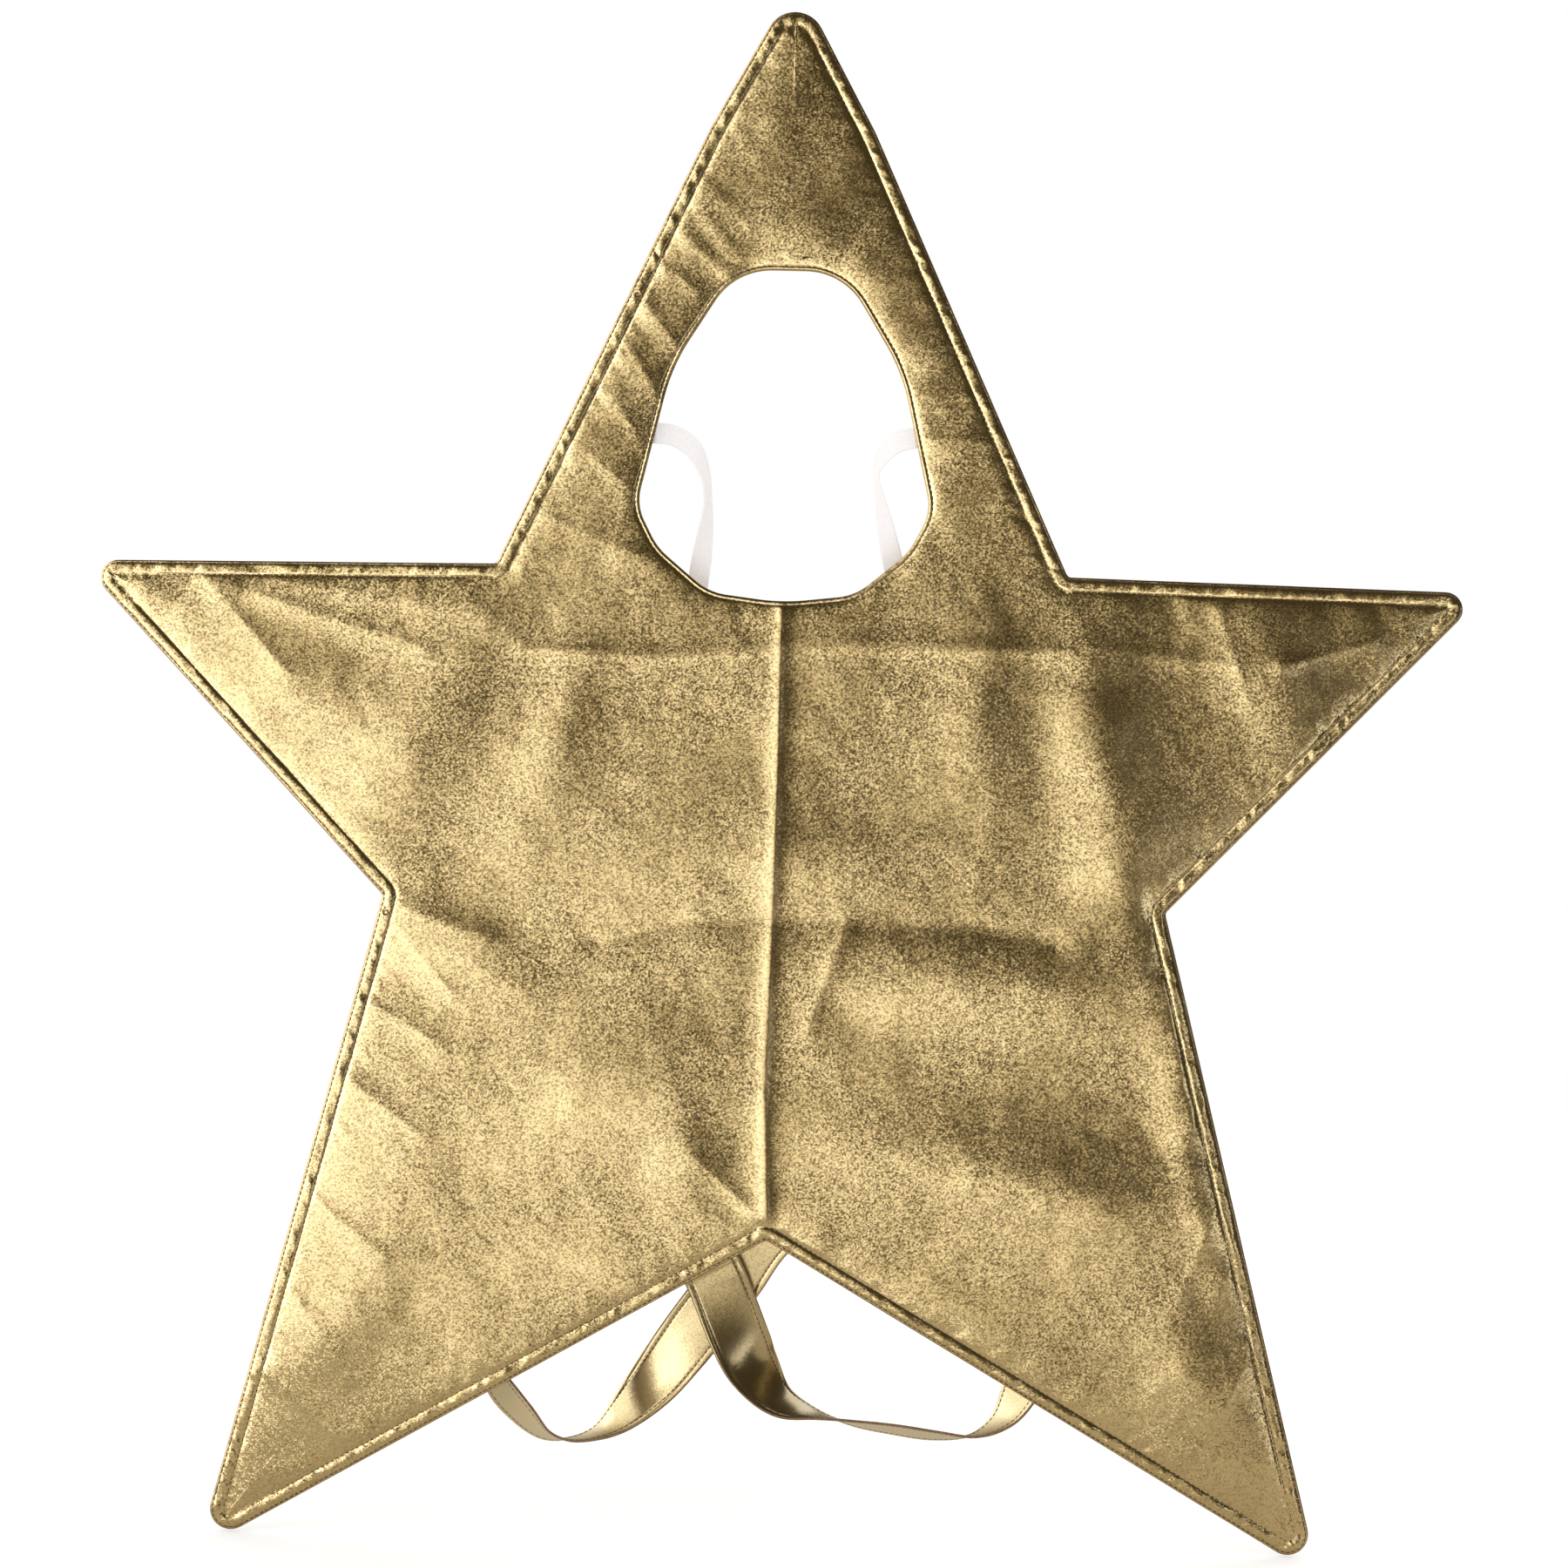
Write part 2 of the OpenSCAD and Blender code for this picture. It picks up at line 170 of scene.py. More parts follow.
SWELLS = (
    Swell(-6, 190, 30, 17, 60, 1.5),
    Swell(16, 115, 30, 20, 0, 2.0),
    Swell(-270, -150, 55, 25, -30, 2.2),
    Swell(-210, -185, 75, 28, 60, 3.5),
    Swell(-125, -170, 60, 20, 75, 2.2),
    Swell(115, -160, 60, 25, 95, 2.0),
    Swell(185, -180, 80, 26, 100, 3.2),
    Swell(285, -135, 50, 24, 110, 2.6),
    Swell(205, -235, 40, 22, 45, 2.5),
    Swell(-60, -240, 70, 30, 20, 2.0),
    Swell(20, -240, 45, 20, 0, 1.6),
    Swell(-190, -290, 60, 22, -35, 2.0),
    Swell(115, -310, 95, 25, -3, 3.2),
    Swell(-95, -372, 70, 35, 20, 4.5),
    Swell(-50, -415, 35, 18, 100, 2.0),
    Swell(240, -400, 80, 14, 105, 1.6),
    Swell(160, -428, 100, 28, -12, 4.0),
    Swell(-215, -430, 70, 40, 60, 3.0),
    Swell(-245, -520, 45, 22, 45, 2.2),
    Swell(248, -534, 60, 28, -60, 2.8),
)


# ---------------------------------------------------------------------------- outlines and fields
def unit(vectors: Array) -> Array:
    """Each vector of an array, made one long."""
    return vectors / np.linalg.norm(vectors, axis=-1, keepdims=True)


def cross2(a: Array, b: Array) -> Array:
    """The cross product of vectors in the plane."""
    return a[..., 0] * b[..., 1] - a[..., 1] * b[..., 0]


def symmetric(right: Array, foot: tuple) -> Array:
    """Corners of a clockwise outline that is the same on both sides, as x, z and radius.

    Args:
        right: the corners down the right side, one row each.
        foot: the corner at the bottom.

    Returns:
        The right side's corners, the foot and the left side's corners going up.
    """
    return np.vstack([right, [foot], right[::-1] * np.array([-1.0, 1.0, 1.0])])


STAR_CORNERS = np.vstack([[TOP_CORNER], symmetric(RIGHT_CORNERS, CROTCH_CORNER)])
OPENING_CORNERS = symmetric(OPENING_RIGHT, CHIN_CORNER)


def inset(corners: Array, d: float) -> Array:
    """Moves each corner inwards by d, keeping the edges parallel, and fits its radius.

    Args:
        corners: rows of x, z and radius, clockwise.
        d: distance in mm; outwards when negative.

    Returns:
        The moved corners.
    """
    p = corners[:, :2]
    u = unit(p - np.roll(p, 1, 0))
    v = unit(np.roll(p, -1, 0) - p)
    m = np.stack([u[:, 1], -u[:, 0]], 1)
    n = np.stack([v[:, 1], -v[:, 0]], 1)
    q = p + (m + n) * d / (1 + (m * n).sum(1, keepdims=True))
    radius = np.where(cross2(u, v) < 0, np.maximum(corners[:, 2] - d, 0.6), corners[:, 2] + d)
    return np.column_stack([q, radius])


def rounded(corners: Array, steps: int = 12) -> Array:
    """Replaces each corner by an arc of its radius that meets both edges smoothly."""
    p, r = corners[:, :2], corners[:, 2:]
    u = unit(np.roll(p, 1, 0) - p)
    v = unit(np.roll(p, -1, 0) - p)
    half = np.arccos((u * v).sum(1, keepdims=True)) / 2
    centre = p + unit(u + v) * r / np.sin(half)
    start = p + u * r / np.tan(half) - centre
    stop = p + v * r / np.tan(half) - centre
    angle = np.arctan2(start[:, 1], start[:, 0])
    turn = np.arctan2(cross2(start, stop), (start * stop).sum(1))
    angles = angle[:, None] + turn[:, None] * np.linspace(0, 1, steps + 1)
    arcs = centre[:, None] + r[:, None] * np.stack([np.cos(angles), np.sin(angles)], -1)
    return arcs.reshape(-1, 2)


class Outline:
    """A closed clockwise outline, which gives places along it and distances from it."""

    def __init__(self, points: Array) -> None:
        """Measures the outline through points."""
        self.points = np.vstack([points, points[:1]])
        steps = np.linalg.norm(np.diff(self.points, axis=0), axis=1)
        self.lengths = np.concatenate([[0.0], np.cumsum(steps)])
        self.total = float(self.lengths[-1])

    def at(self, along: Array) -> Array:
        """Points of the outline at lengths along it, which may pass its end."""
        s = np.mod(along, self.total)
        return np.stack([np.interp(s, self.lengths, self.points[:, k]) for k in (0, 1)], -1)

    def nearest(self, xz: Array, rows: int = 6000) -> tuple[Array, Array]:
        """Distance from each point to the outline, and the length along it of the nearest place.

        Args:
            xz: points, one row each.
            rows: how many points are worked out at a time.

        Returns:
            The distances and the lengths along.
        """
        a = self.points[:-1]
        ab = np.diff(self.points, axis=0)
        squared = (ab ** 2).sum(1)
        keep = squared > 1e-12
        a, ab, squared, base = a[keep], ab[keep], squared[keep], self.lengths[:-1][keep]
        distance, along = np.empty(len(xz)), np.empty(len(xz))
        for i in range(0, len(xz), rows):
            ap = xz[i:i + rows, None] - a[None]
            t = np.clip((ap * ab).sum(2) / squared, 0, 1)
            gap = ((ap - t[..., None] * ab) ** 2).sum(2)
            k = gap.argmin(1)
            pick = np.arange(len(k))
            distance[i:i + rows] = np.sqrt(gap[pick, k])
            along[i:i + rows] = base[k] + t[pick, k] * np.sqrt(squared[k])
        return distance, along


def from_route(xz: Array, route: Array) -> Array:
    """The distance of each point from an open route."""
    a, ab = route[:-1], np.diff(route, axis=0)
    ap = xz[:, None] - a[None]
    t = np.clip((ap * ab).sum(2) / (ab ** 2).sum(1), 0, 1)
    return np.sqrt(((ap - t[..., None] * ab) ** 2).sum(2).min(1))


def line_noise(s: Array, cell: float, seed: int) -> Array:
    """Smooth noise along a length: random values every cell mm, joined by an eased curve."""
    table = np.random.default_rng(seed).uniform(-1, 1, 4096)
    i = np.floor(s / cell).astype(int)
    t = s / cell - i
    t = t * t * (3 - 2 * t)
    return table[i % 4096] * (1 - t) + table[(i + 1) % 4096] * t


def field_noise(xz: Array, cell: float, seed: int, turn: float = 0.5) -> Array:
    """Smooth noise over the plane: random values on a lattice of cell mm, joined by eased curves.

    Args:
        xz: points, one row each.
        cell: the lattice's spacing.
        seed: which random values.
        turn: how far the lattice is turned, in radians.

    Returns:
        One value from -1 to 1 for each point.
    """
    table = np.random.default_rng(seed).uniform(-1, 1, (128, 128))
    c, s = math.cos(turn), math.sin(turn)
    u = (xz[:, 0] * c - xz[:, 1] * s) / cell
    v = (xz[:, 0] * s + xz[:, 1] * c) / cell
    i, j = np.floor(u).astype(int), np.floor(v).astype(int)
    a, b = u - i, v - j
    a, b = a ** 3 * (a * (a * 6 - 15) + 10), b ** 3 * (b * (b * 6 - 15) + 10)
    near, far = i % 128, (i + 1) % 128
    low = table[near, j % 128] * (1 - a) + table[far, j % 128] * a
    high = table[near, (j + 1) % 128] * (1 - a) + table[far, (j + 1) % 128] * a
    return low * (1 - b) + high * b


def ease(x: Array) -> Array:
    """0 below 0 and 1 above 1, with a smooth curve between."""
    t = np.clip(x, 0, 1)
    return t * t * (3 - 2 * t)


class Panel:
    """The padded star as a height field: where its front and its back lie at any place."""

    edge_y = 1.9          # half thickness just inside the rolled edge
    roll = 1.6            # radius of the rolled edge

    def __init__(self) -> None:
        """Prepares the outlines that every layer shares."""
        self.outline = Outline(rounded(STAR_CORNERS))
        self.opening = Outline(rounded(OPENING_CORNERS))

    def relief(self, xz: Array) -> Array:
        """How far the whole panel stands towards the front, from its swells, creases and sag.

        A swell is height * exp(-(u/long)^2 - (v/short)^2). A crease is
        height * exp(-sqrt(t^2 + 0.8) / reach), where t is the distance from its route.
        """
        h = 0.3 * field_noise(xz, 62, SEED) + 0.2 * field_noise(xz, 27, SEED + 1, 1.1)
        h += 0.14 * field_noise(xz, 11, SEED + 2, 0.2)
        for w in SWELLS:
            c, s = math.cos(math.radians(w.turn)), math.sin(math.radians(w.turn))
            dx, dz = xz[:, 0] - w.x, xz[:, 1] - w.z
            h += w.height * np.exp(-((dx * c + dz * s) / w.long) ** 2
                                   - ((dz * c - dx * s) / w.short) ** 2)
        for crease in CREASES:
            t = from_route(xz, np.array(crease.route, float))
            h += crease.height * np.exp(-np.sqrt(t * t + 0.8) / crease.reach)
        return h

    def rolled(self, d: Array) -> Array:
        """The quarter circle by which cloth turns over an edge."""
        t = np.clip(1 - d / self.roll, 0, 1)
        return self.edge_y * np.sqrt(1 - t * t)

    def loft(self, d: Array, seam: float, lift: float, reach: float) -> Array:
        """Padding that rises from a stitched seam: lift * (1 - exp(-(d - seam) / reach))."""
        return lift * (1 - np.exp(-np.maximum(d - seam, 0) / reach))

    def channel(self, d: Array) -> Array:
        """A hump of cloth between the edge stitch and the hem stitch."""
        t = np.clip((d - EDGE_STITCH) / (HEM_STITCH - EDGE_STITCH), 0, 1)
        return np.sin(np.pi * t) ** 0.7

    def pull(self, d: Array, seam: float) -> Array:
        """The valley that a line of thread pulls into the cloth."""
        return np.exp(-(np.abs(d - seam) / 0.55) ** 1.6)

    def depth(self, xz: Array, side: Side) -> Array:
        """Thickness of one half of the panel, from its middle to its face."""
        d, s = self.outline.nearest(xz)
        o, a = self.opening.nearest(xz)
        strength = 1.0 if side is Side.FRONT else 0.35
        puff = self.channel(d) * (0.55 + 0.42 * line_noise(s + 0.7 * d, 3.6, 11)
                                  + 0.3 * line_noise(s - 0.5 * d, 9, 12))
        inner = np.maximum(d - HEM_STITCH, 0)
        fringe = (1 - np.exp(-inner / 1.2)) * (
            0.42 * np.exp(-inner / 7) * line_noise(s + 0.6 * d, 5.5, 13)
            + 0.55 * np.exp(-inner / 17) * line_noise(s - 0.4 * d, 15, 14))
        outer = (self.rolled(d) + strength * (puff + fringe + self.loft(d, HEM_STITCH, 1.1, 5)
                 - 0.45 * self.pull(d, EDGE_STITCH) - 0.5 * self.pull(d, HEM_STITCH)))
        inner = np.maximum(o - FACE_STITCH, 0)
        fringe = (1 - np.exp(-inner / 1.5)) * (
            0.35 * np.exp(-inner / 6) * line_noise(a + 0.5 * o, 6.5, 15)
            + 0.5 * np.exp(-inner / 16) * line_noise(a - 0.5 * o, 17, 16))
        rim = (self.rolled(o) + strength * (fringe + self.loft(o, FACE_STITCH, 1.1, 6)
               - 0.5 * self.pull(o, FACE_STITCH)))
        soft = 0.25
        gap = np.clip(0.5 + (outer - rim) / (2 * soft), 0, 1)
        return outer * (1 - gap) + rim * gap - soft * gap * (1 - gap)

    def y(self, xz: Array, side: Side, out: float = 0.0) -> Array:
        """y of one face at each point, moved outwards by out."""
        return side.value * (self.depth(xz, side) + out) - self.relief(xz)

    def wear(self, xz: Array) -> Array:
        """How rubbed the foil is: most on the rolled edges and along the creases."""
        d = np.minimum(self.outline.nearest(xz)[0], self.opening.nearest(xz)[0])
        rubbed = 0.9 * np.exp(-d / 0.9)
        for crease in CREASES[:4]:
            t = from_route(xz, np.array(crease.route, float))
            rubbed = np.maximum(rubbed, 0.5 * np.exp(-(t / 1.6) ** 2))
        return rubbed


PANEL = Panel()


# ---------------------------------------------------------------------------- meshes
def to_mesh(name: str, verts: Array, faces: list, uv: Array | None = None,
            wear: Array | None = None) -> bpy.types.Object:
    """Makes a smooth-shaded object at the origin from points in mm.

    Args:
        name: the piece's name.
        verts: points, one row each.
        faces: index tuples or arrays.
        uv: a place on the cloth for each point, in metres.
        wear: how rubbed each point is.

    Returns:
        The object, linked to the scene.
    """
    mesh = bpy.data.meshes.new(name)
    mesh.from_pydata((verts * MM).tolist(), [], faces)
    mesh.polygons.foreach_set("use_smooth", np.ones(len(mesh.polygons), bool))
    if uv is not None:
        corner = np.empty(len(mesh.loops), np.int32)
        mesh.loops.foreach_get("vertex_index", corner)
        layer = mesh.uv_layers.new(name="cloth")
        layer.data.foreach_set("uv", uv[corner].astype(np.float32).ravel())
    if wear is not None:
        mesh.attributes.new("wear", "FLOAT", "POINT").data.foreach_set(
            "value", wear.astype(np.float32))
    mesh.update()
    obj = bpy.data.objects.new(name, mesh)
    bpy.context.scene.collection.objects.link(obj)
    return obj


def weld(obj: bpy.types.Object, gap: float = 4e-6) -> None:
    """Joins points that lie on each other, and drops the faces that this closes."""
    bm = bmesh.new()
    bm.from_mesh(obj.data)
    bmesh.ops.remove_doubles(bm, verts=bm.verts, dist=gap)
    bmesh.ops.dissolve_degenerate(bm, edges=bm.edges, dist=1e-7)
    loose = [v for v in bm.verts if not v.link_faces]
    bmesh.ops.delete(bm, geom=loose, context="VERTS")
    bm.to_mesh(obj.data)
    bm.free()


def grid_faces(rows: int, cols: int, around: bool = False, keep: Array | None = None) -> Array:
    """Four-sided faces of a grid whose points are numbered row by row.

    Args:
        rows: number of rows of points.
        cols: number of points in a row.
        around: whether the last column joins the first.
        keep: which faces to keep, one row for each row of faces.

    Returns:
        One row of four point numbers for each face.
    """
    i, j = np.meshgrid(np.arange(rows - 1), np.arange(cols if around else cols - 1), indexing="ij")
    k = (j + 1) % cols
    faces = np.stack([i * cols + j, i * cols + k, (i + 1) * cols + k, (i + 1) * cols + j], -1)
    return faces[keep] if keep is not None else faces.reshape(-1, 4)


def tube_faces(rows: int, cols: int, lids: int = 2) -> Array:
    """Faces of a tube whose last column joins its first, with lids on its ends.

    A lid is a strip of faces between the first half of a row and the second half, which runs
    back under it, so the number of columns is even.

    Args:
        rows: number of rows of points.
        cols: number of points in a row.
        lids: 1 for a lid on the first row only, 2 for both.

    Returns:
        One row of four point numbers for each face.
    """
    j = np.arange(cols // 2 - 1)
    near = np.stack([j, cols - 1 - j, cols - 2 - j, j + 1], -1)
    far = near[:, ::-1] + (rows - 1) * cols
    return np.vstack([grid_faces(rows, cols, True), near, far][:1 + lids])


def ring_faces(rows: int, cols: int) -> Array:
    """Faces of a grid whose last row and last column both join the first."""
    return grid_faces(rows + 1, cols, True) % (rows * cols)


def facing(verts: Array, faces: Array, side: Side) -> Array:
    """The same faces, all turned towards one side of the panel."""
    p = verts[faces]
    y = np.cross(p[:, 2] - p[:, 0], p[:, 3] - p[:, 1])[:, 1].sum()
    return faces if y * side.value > 0 else faces[:, ::-1]


def outwards(verts: Array, faces: Array) -> Array:
    """The same faces of a closed shape, all turned outwards, by the sign of its volume."""
    p = verts[faces] - verts.mean(0)
    volume = np.einsum("ij,ij->i", np.cross(p[:, 0], p[:, 1]), p[:, 2] + p[:, 3]).sum()
    return faces if volume > 0 else faces[:, ::-1]


@dataclass(frozen=True)
class Fold:
    """A fold line across the star. Its point lies to the left, going from start to stop."""

    name: str
    start: tuple
    stop: tuple
    tip: tuple
    middle: int
    reach: float

    def ends(self) -> tuple[float, float, float]:
        """Lengths along the outline of the fold's start, its point's tip and the fold's stop."""
        places = np.array([self.start, self.tip, self.stop], float)
        start, tip, stop = PANEL.outline.nearest(places)[1]
        return (start - PANEL.outline.total if start > tip else start), tip, stop

    def normal(self) -> Array:
        """The direction across the fold, towards the point."""
        u = unit(np.array(self.stop, float) - np.array(self.start, float))
        return np.array([-u[1], u[0]])

    def blend(self, obj: bpy.types.Object) -> None:
        """Bakes the piece's placement into its points."""
        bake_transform(obj)


CROWN, SHOULDER, ARM_TIP, WAIST, LEG_TIP = (tuple(c[:2]) for c in RIGHT_CORNERS)
CROTCH = CROTCH_CORNER[:2]
FOLD_X = CROWN[0] + (SHOULDER[0] - CROWN[0]) * (CROWN[1] - TOP_FOLD_Z) / (CROWN[1] - SHOULDER[1])


def left(point: tuple) -> tuple:
    """The same place on the left side."""
    return (-point[0], point[1])


FOLDS = (
    Fold("top_point", (-FOLD_X, TOP_FOLD_Z), (FOLD_X, TOP_FOLD_Z), TOP_CORNER[:2], 40, 55),
    Fold("right_arm", SHOULDER, WAIST, ARM_TIP, 50, 70),
    Fold("right_leg", WAIST, CROTCH, LEG_TIP, 70, 90),
    Fold("left_leg", CROTCH, left(WAIST), left(LEG_TIP), 70, 90),
    Fold("left_arm", left(WAIST), left(SHOULDER), left(ARM_TIP), 50, 70),
)


def across(width: Array, steps: Array, middle: int) -> Array:
    """Shares of the way across, close together near both ends.

    Near each end the distances are steps, in mm, and they shrink together where the width has no
    room for them. Between them lie middle more places, evenly spaced.

    Args:
        width: the width of each row in mm.
        steps: distances from either end.
        middle: how many places lie between.

    Returns:
        One row of shares for each width.
    """
    w = np.maximum(width, 1e-6)[:, None]
    near = steps * np.minimum(1, w / (2 * steps[-1] + 8))
    inner = np.linspace(0, 1, middle + 2)[1:-1]
    between = near[:, -1:] + inner * (w - 2 * near[:, -1:])
    return np.hstack([near, between, (w - near)[:, ::-1]]) / w


@dataclass(frozen=True)
class Weave:
    """How finely one layer of cloth is divided."""

    steps: Array
    spacing: float
    coarse: float
    wrapped: bool
    inset: float = 0.0


FRONT_WEAVE = Weave(EDGE_STEPS, 1.5, 1.0, True)
LINING_WEAVE = Weave(COARSE_STEPS, 3.0, 2.2, False, 0.5)
PADDING_WEAVE = Weave(PLAIN_STEPS, 5.0, 3.0, False, 0.9)


def pulled_in(xz: Array, d: float) -> Array:
    """Moves points that are nearer than d to an edge inwards, by an eased share of d."""
    if not d:
        return xz
    moved = xz
    for outline, sign in ((PANEL.outline, 1), (PANEL.opening, -1)):
        distance, s = outline.nearest(moved)
        tangent = unit(outline.at(s + 0.6) - outline.at(s - 0.6))
        inward = np.stack([tangent[:, 1], -tangent[:, 0]], -1) * sign
        moved = moved + inward * (d * np.exp(-distance / (4 * d)))[:, None]
    return moved


def point_rows(fold: Fold, weave: Weave) -> tuple[Array, Array]:
    """Places in the plane for one point of the star, in rows from its fold to its tip.

    Each row is a straight line between two places on the outline that lie the same share of the
    way from the fold to the tip.

    Args:
        fold: the fold at the point's foot.
        weave: how finely it is divided.

    Returns:
        The places as rows, columns and x or z, and which columns turn over the edge.
    """
    start, tip, stop = fold.ends()
    count = int(max(tip - start, stop - tip) / weave.spacing)
    share = np.linspace(0, 1, count + 1)
    a = PANEL.outline.at(start + (tip - start) * share)
    b = PANEL.outline.at(stop + (tip - stop) * share)
    width = np.linalg.norm(b - a, axis=1)
    t = across(width, weave.steps, int(fold.middle / weave.coarse))
    turned = np.zeros(t.shape[1], bool)
    if weave.wrapped:
        w = np.maximum(width, 1e-6)[:, None]
        wrap = WRAP_STEPS * np.minimum(1, w / 40) / w
        t = np.hstack([wrap[:, ::-1], t, 1 - wrap])
        edge = np.ones(len(WRAP_STEPS), bool)
        turned = np.concatenate([edge, turned, edge])
    return a[:, None] + (b - a)[:, None] * t[..., None], turned


def by_angle(points: Array) -> tuple[Array, Array]:
    """Angles and distances of points from the origin, in order of angle."""
    angle = np.arctan2(points[:, 1], points[:, 0])
    order = np.argsort(angle)
    return angle[order], np.linalg.norm(points, axis=1)[order]


def torso_rows(weave: Weave) -> tuple[Array, Array, Array]:
    """Places in the plane for the middle of the star, in rings from the opening outwards.

    Each column is a straight line away from the middle of the opening, from its rim to a fold or
    to the outline.

    Args:
        weave: how finely it is divided.

    Returns:
        The places as rings, columns and x or z, which rings turn over the edge, and which
        columns end on the outline.
    """
    parts, edges = [], []
    by_name = {f.name: f for f in FOLDS}

    def fold_part(name: str) -> None:
        """Adds a fold's first row, without its last place."""
        start, _, stop = by_name[name].ends()
        a, b = PANEL.outline.at(np.array([start, stop]))
        width = np.array([np.linalg.norm(b - a)])
        t = across(width, weave.steps, int(by_name[name].middle / weave.coarse))[0, :-1]
        parts.append(a + (b - a) * t[:, None])
        edges.append(np.arange(len(t)) == 0)

    def edge_part(before: str, after: str) -> None:
        """Adds the outline between two folds, without its last place."""
        first, last = by_name[before].ends()[2], by_name[after].ends()[0]
        last += PANEL.outline.total if last < first else 0
        s = np.linspace(first, last, int((last - first) / (1.2 * weave.spacing)))[:-1]
        parts.append(PANEL.outline.at(s))
        edges.append(np.ones(len(s), bool))

    fold_part("top_point")
    edge_part("top_point", "right_arm")
    for name in ("right_arm", "right_leg", "left_leg", "left_arm"):
        fold_part(name)
    edge_part("left_arm", "top_point")
    outer, on_edge = np.vstack(parts), np.concatenate(edges)
    angle = np.arctan2(outer[:, 1], outer[:, 0])
    rim = PANEL.opening.at(np.linspace(0, PANEL.opening.total, 1200, endpoint=False))
    inner = np.interp(angle, *by_angle(rim), period=2 * math.pi)
    length = np.linalg.norm(outer, axis=1) - inner
    rim_steps = RIM_STEPS if weave.wrapped else weave.steps
    middle = int(80 / weave.coarse)
    near = np.tile(rim_steps, (len(length), 1))
    room = np.clip((length - rim_steps[-1] - 2) / (weave.steps[-1] + 6), 0.04, 1)[:, None]
    far = length[:, None] - weave.steps[::-1] * room
    share = np.linspace(0, 1, middle + 2)[1:-1]
    between = near[:, -1:] + share * (far[:, :1] - near[:, -1:])
    reach = np.hstack([near, between, far])
    turned = np.zeros(reach.shape[1], bool)
    if weave.wrapped:
        reach = np.hstack([reach, length[:, None] - WRAP_STEPS * room])
        turned = np.concatenate([turned, np.ones(len(WRAP_STEPS), bool)])
    radius = inner[:, None] + reach
    ray = np.stack([np.cos(angle), np.sin(angle)], -1)
    return (radius[..., None] * ray[:, None]).transpose(1, 0, 2), turned, on_edge


def cloth_uv(xz: Array) -> Array:
    """The place on the cloth in metres, moved so that all of it is positive."""
    return xz * MM + np.array([0.5, 0.7])


@dataclass
class StarLayer:
    """One layer of the star, made as six pieces: the middle and its five points."""

    prefix: str
    side: Side
    weave: Weave
    finish: "Finish"
    slot: str
    proud: float = 0.0

    def sheet(self, name: str, xz: Array, turned: Array, keep: Array | None,
              around: bool) -> bpy.types.Object:
        """Makes one piece of cloth from rows of places in the plane.

        Args:
            name: the piece's name.
            xz: rows, columns and x or z.
            turned: marks the places that lie on the other side, round the edge.
            keep: which faces to keep.
            around: whether the last column joins the first.

        Returns:
            The finished object.
        """
        rows, cols = xz.shape[:2]
        flat = pulled_in(xz.reshape(-1, 2), self.weave.inset)
        y = PANEL.y(flat, self.side, self.proud)
        if turned.any():
            other = Side.BACK if self.side is Side.FRONT else Side.FRONT
            y = np.where(turned.ravel(), PANEL.y(flat, other), y)
        verts = np.column_stack([flat[:, 0], y, flat[:, 1]])
        faces = facing(verts, grid_faces(rows, cols, around, keep), self.side)
        obj = to_mesh(name, verts, faces.tolist(), cloth_uv(flat), PANEL.wear(flat))
        weld(obj)
        self.finish.dress(obj)
        return obj

    def build_torso(self) -> bpy.types.Object:
        """Makes the middle of the layer."""
        xz, turned, on_edge = torso_rows(self.weave)
        rows, cols = xz.shape[:2]
        keep = np.ones((rows - 1, cols), bool)
        pair = on_edge & np.roll(on_edge, -1)
        keep[turned[1:]] = pair
        obj = self.sheet(self.prefix + "_torso", xz, np.repeat(turned[:, None], cols, 1), keep, True)
        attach(obj, "root")
        return obj

    def build_point(self, fold: Fold) -> bpy.types.Object:
        """Makes the layer of one point."""
        xz, turned = point_rows(fold, self.weave)
        rows = xz.shape[0]
        obj = self.sheet(f"{self.prefix}_{fold.name}", xz, np.repeat(turned[None], rows, 0),
                         None, False)
        fold.blend(obj)
        return obj

    def build(self) -> dict[str, bpy.types.Object]:
        """Makes all six pieces and says what each is."""
        made = {"torso": self.build_torso()}
        for fold in FOLDS:
            made[fold.name] = self.build_point(fold)
        for region, obj in made.items():
            LOG.info("%s: %d faces", obj.name, len(obj.data.polygons))
        return made


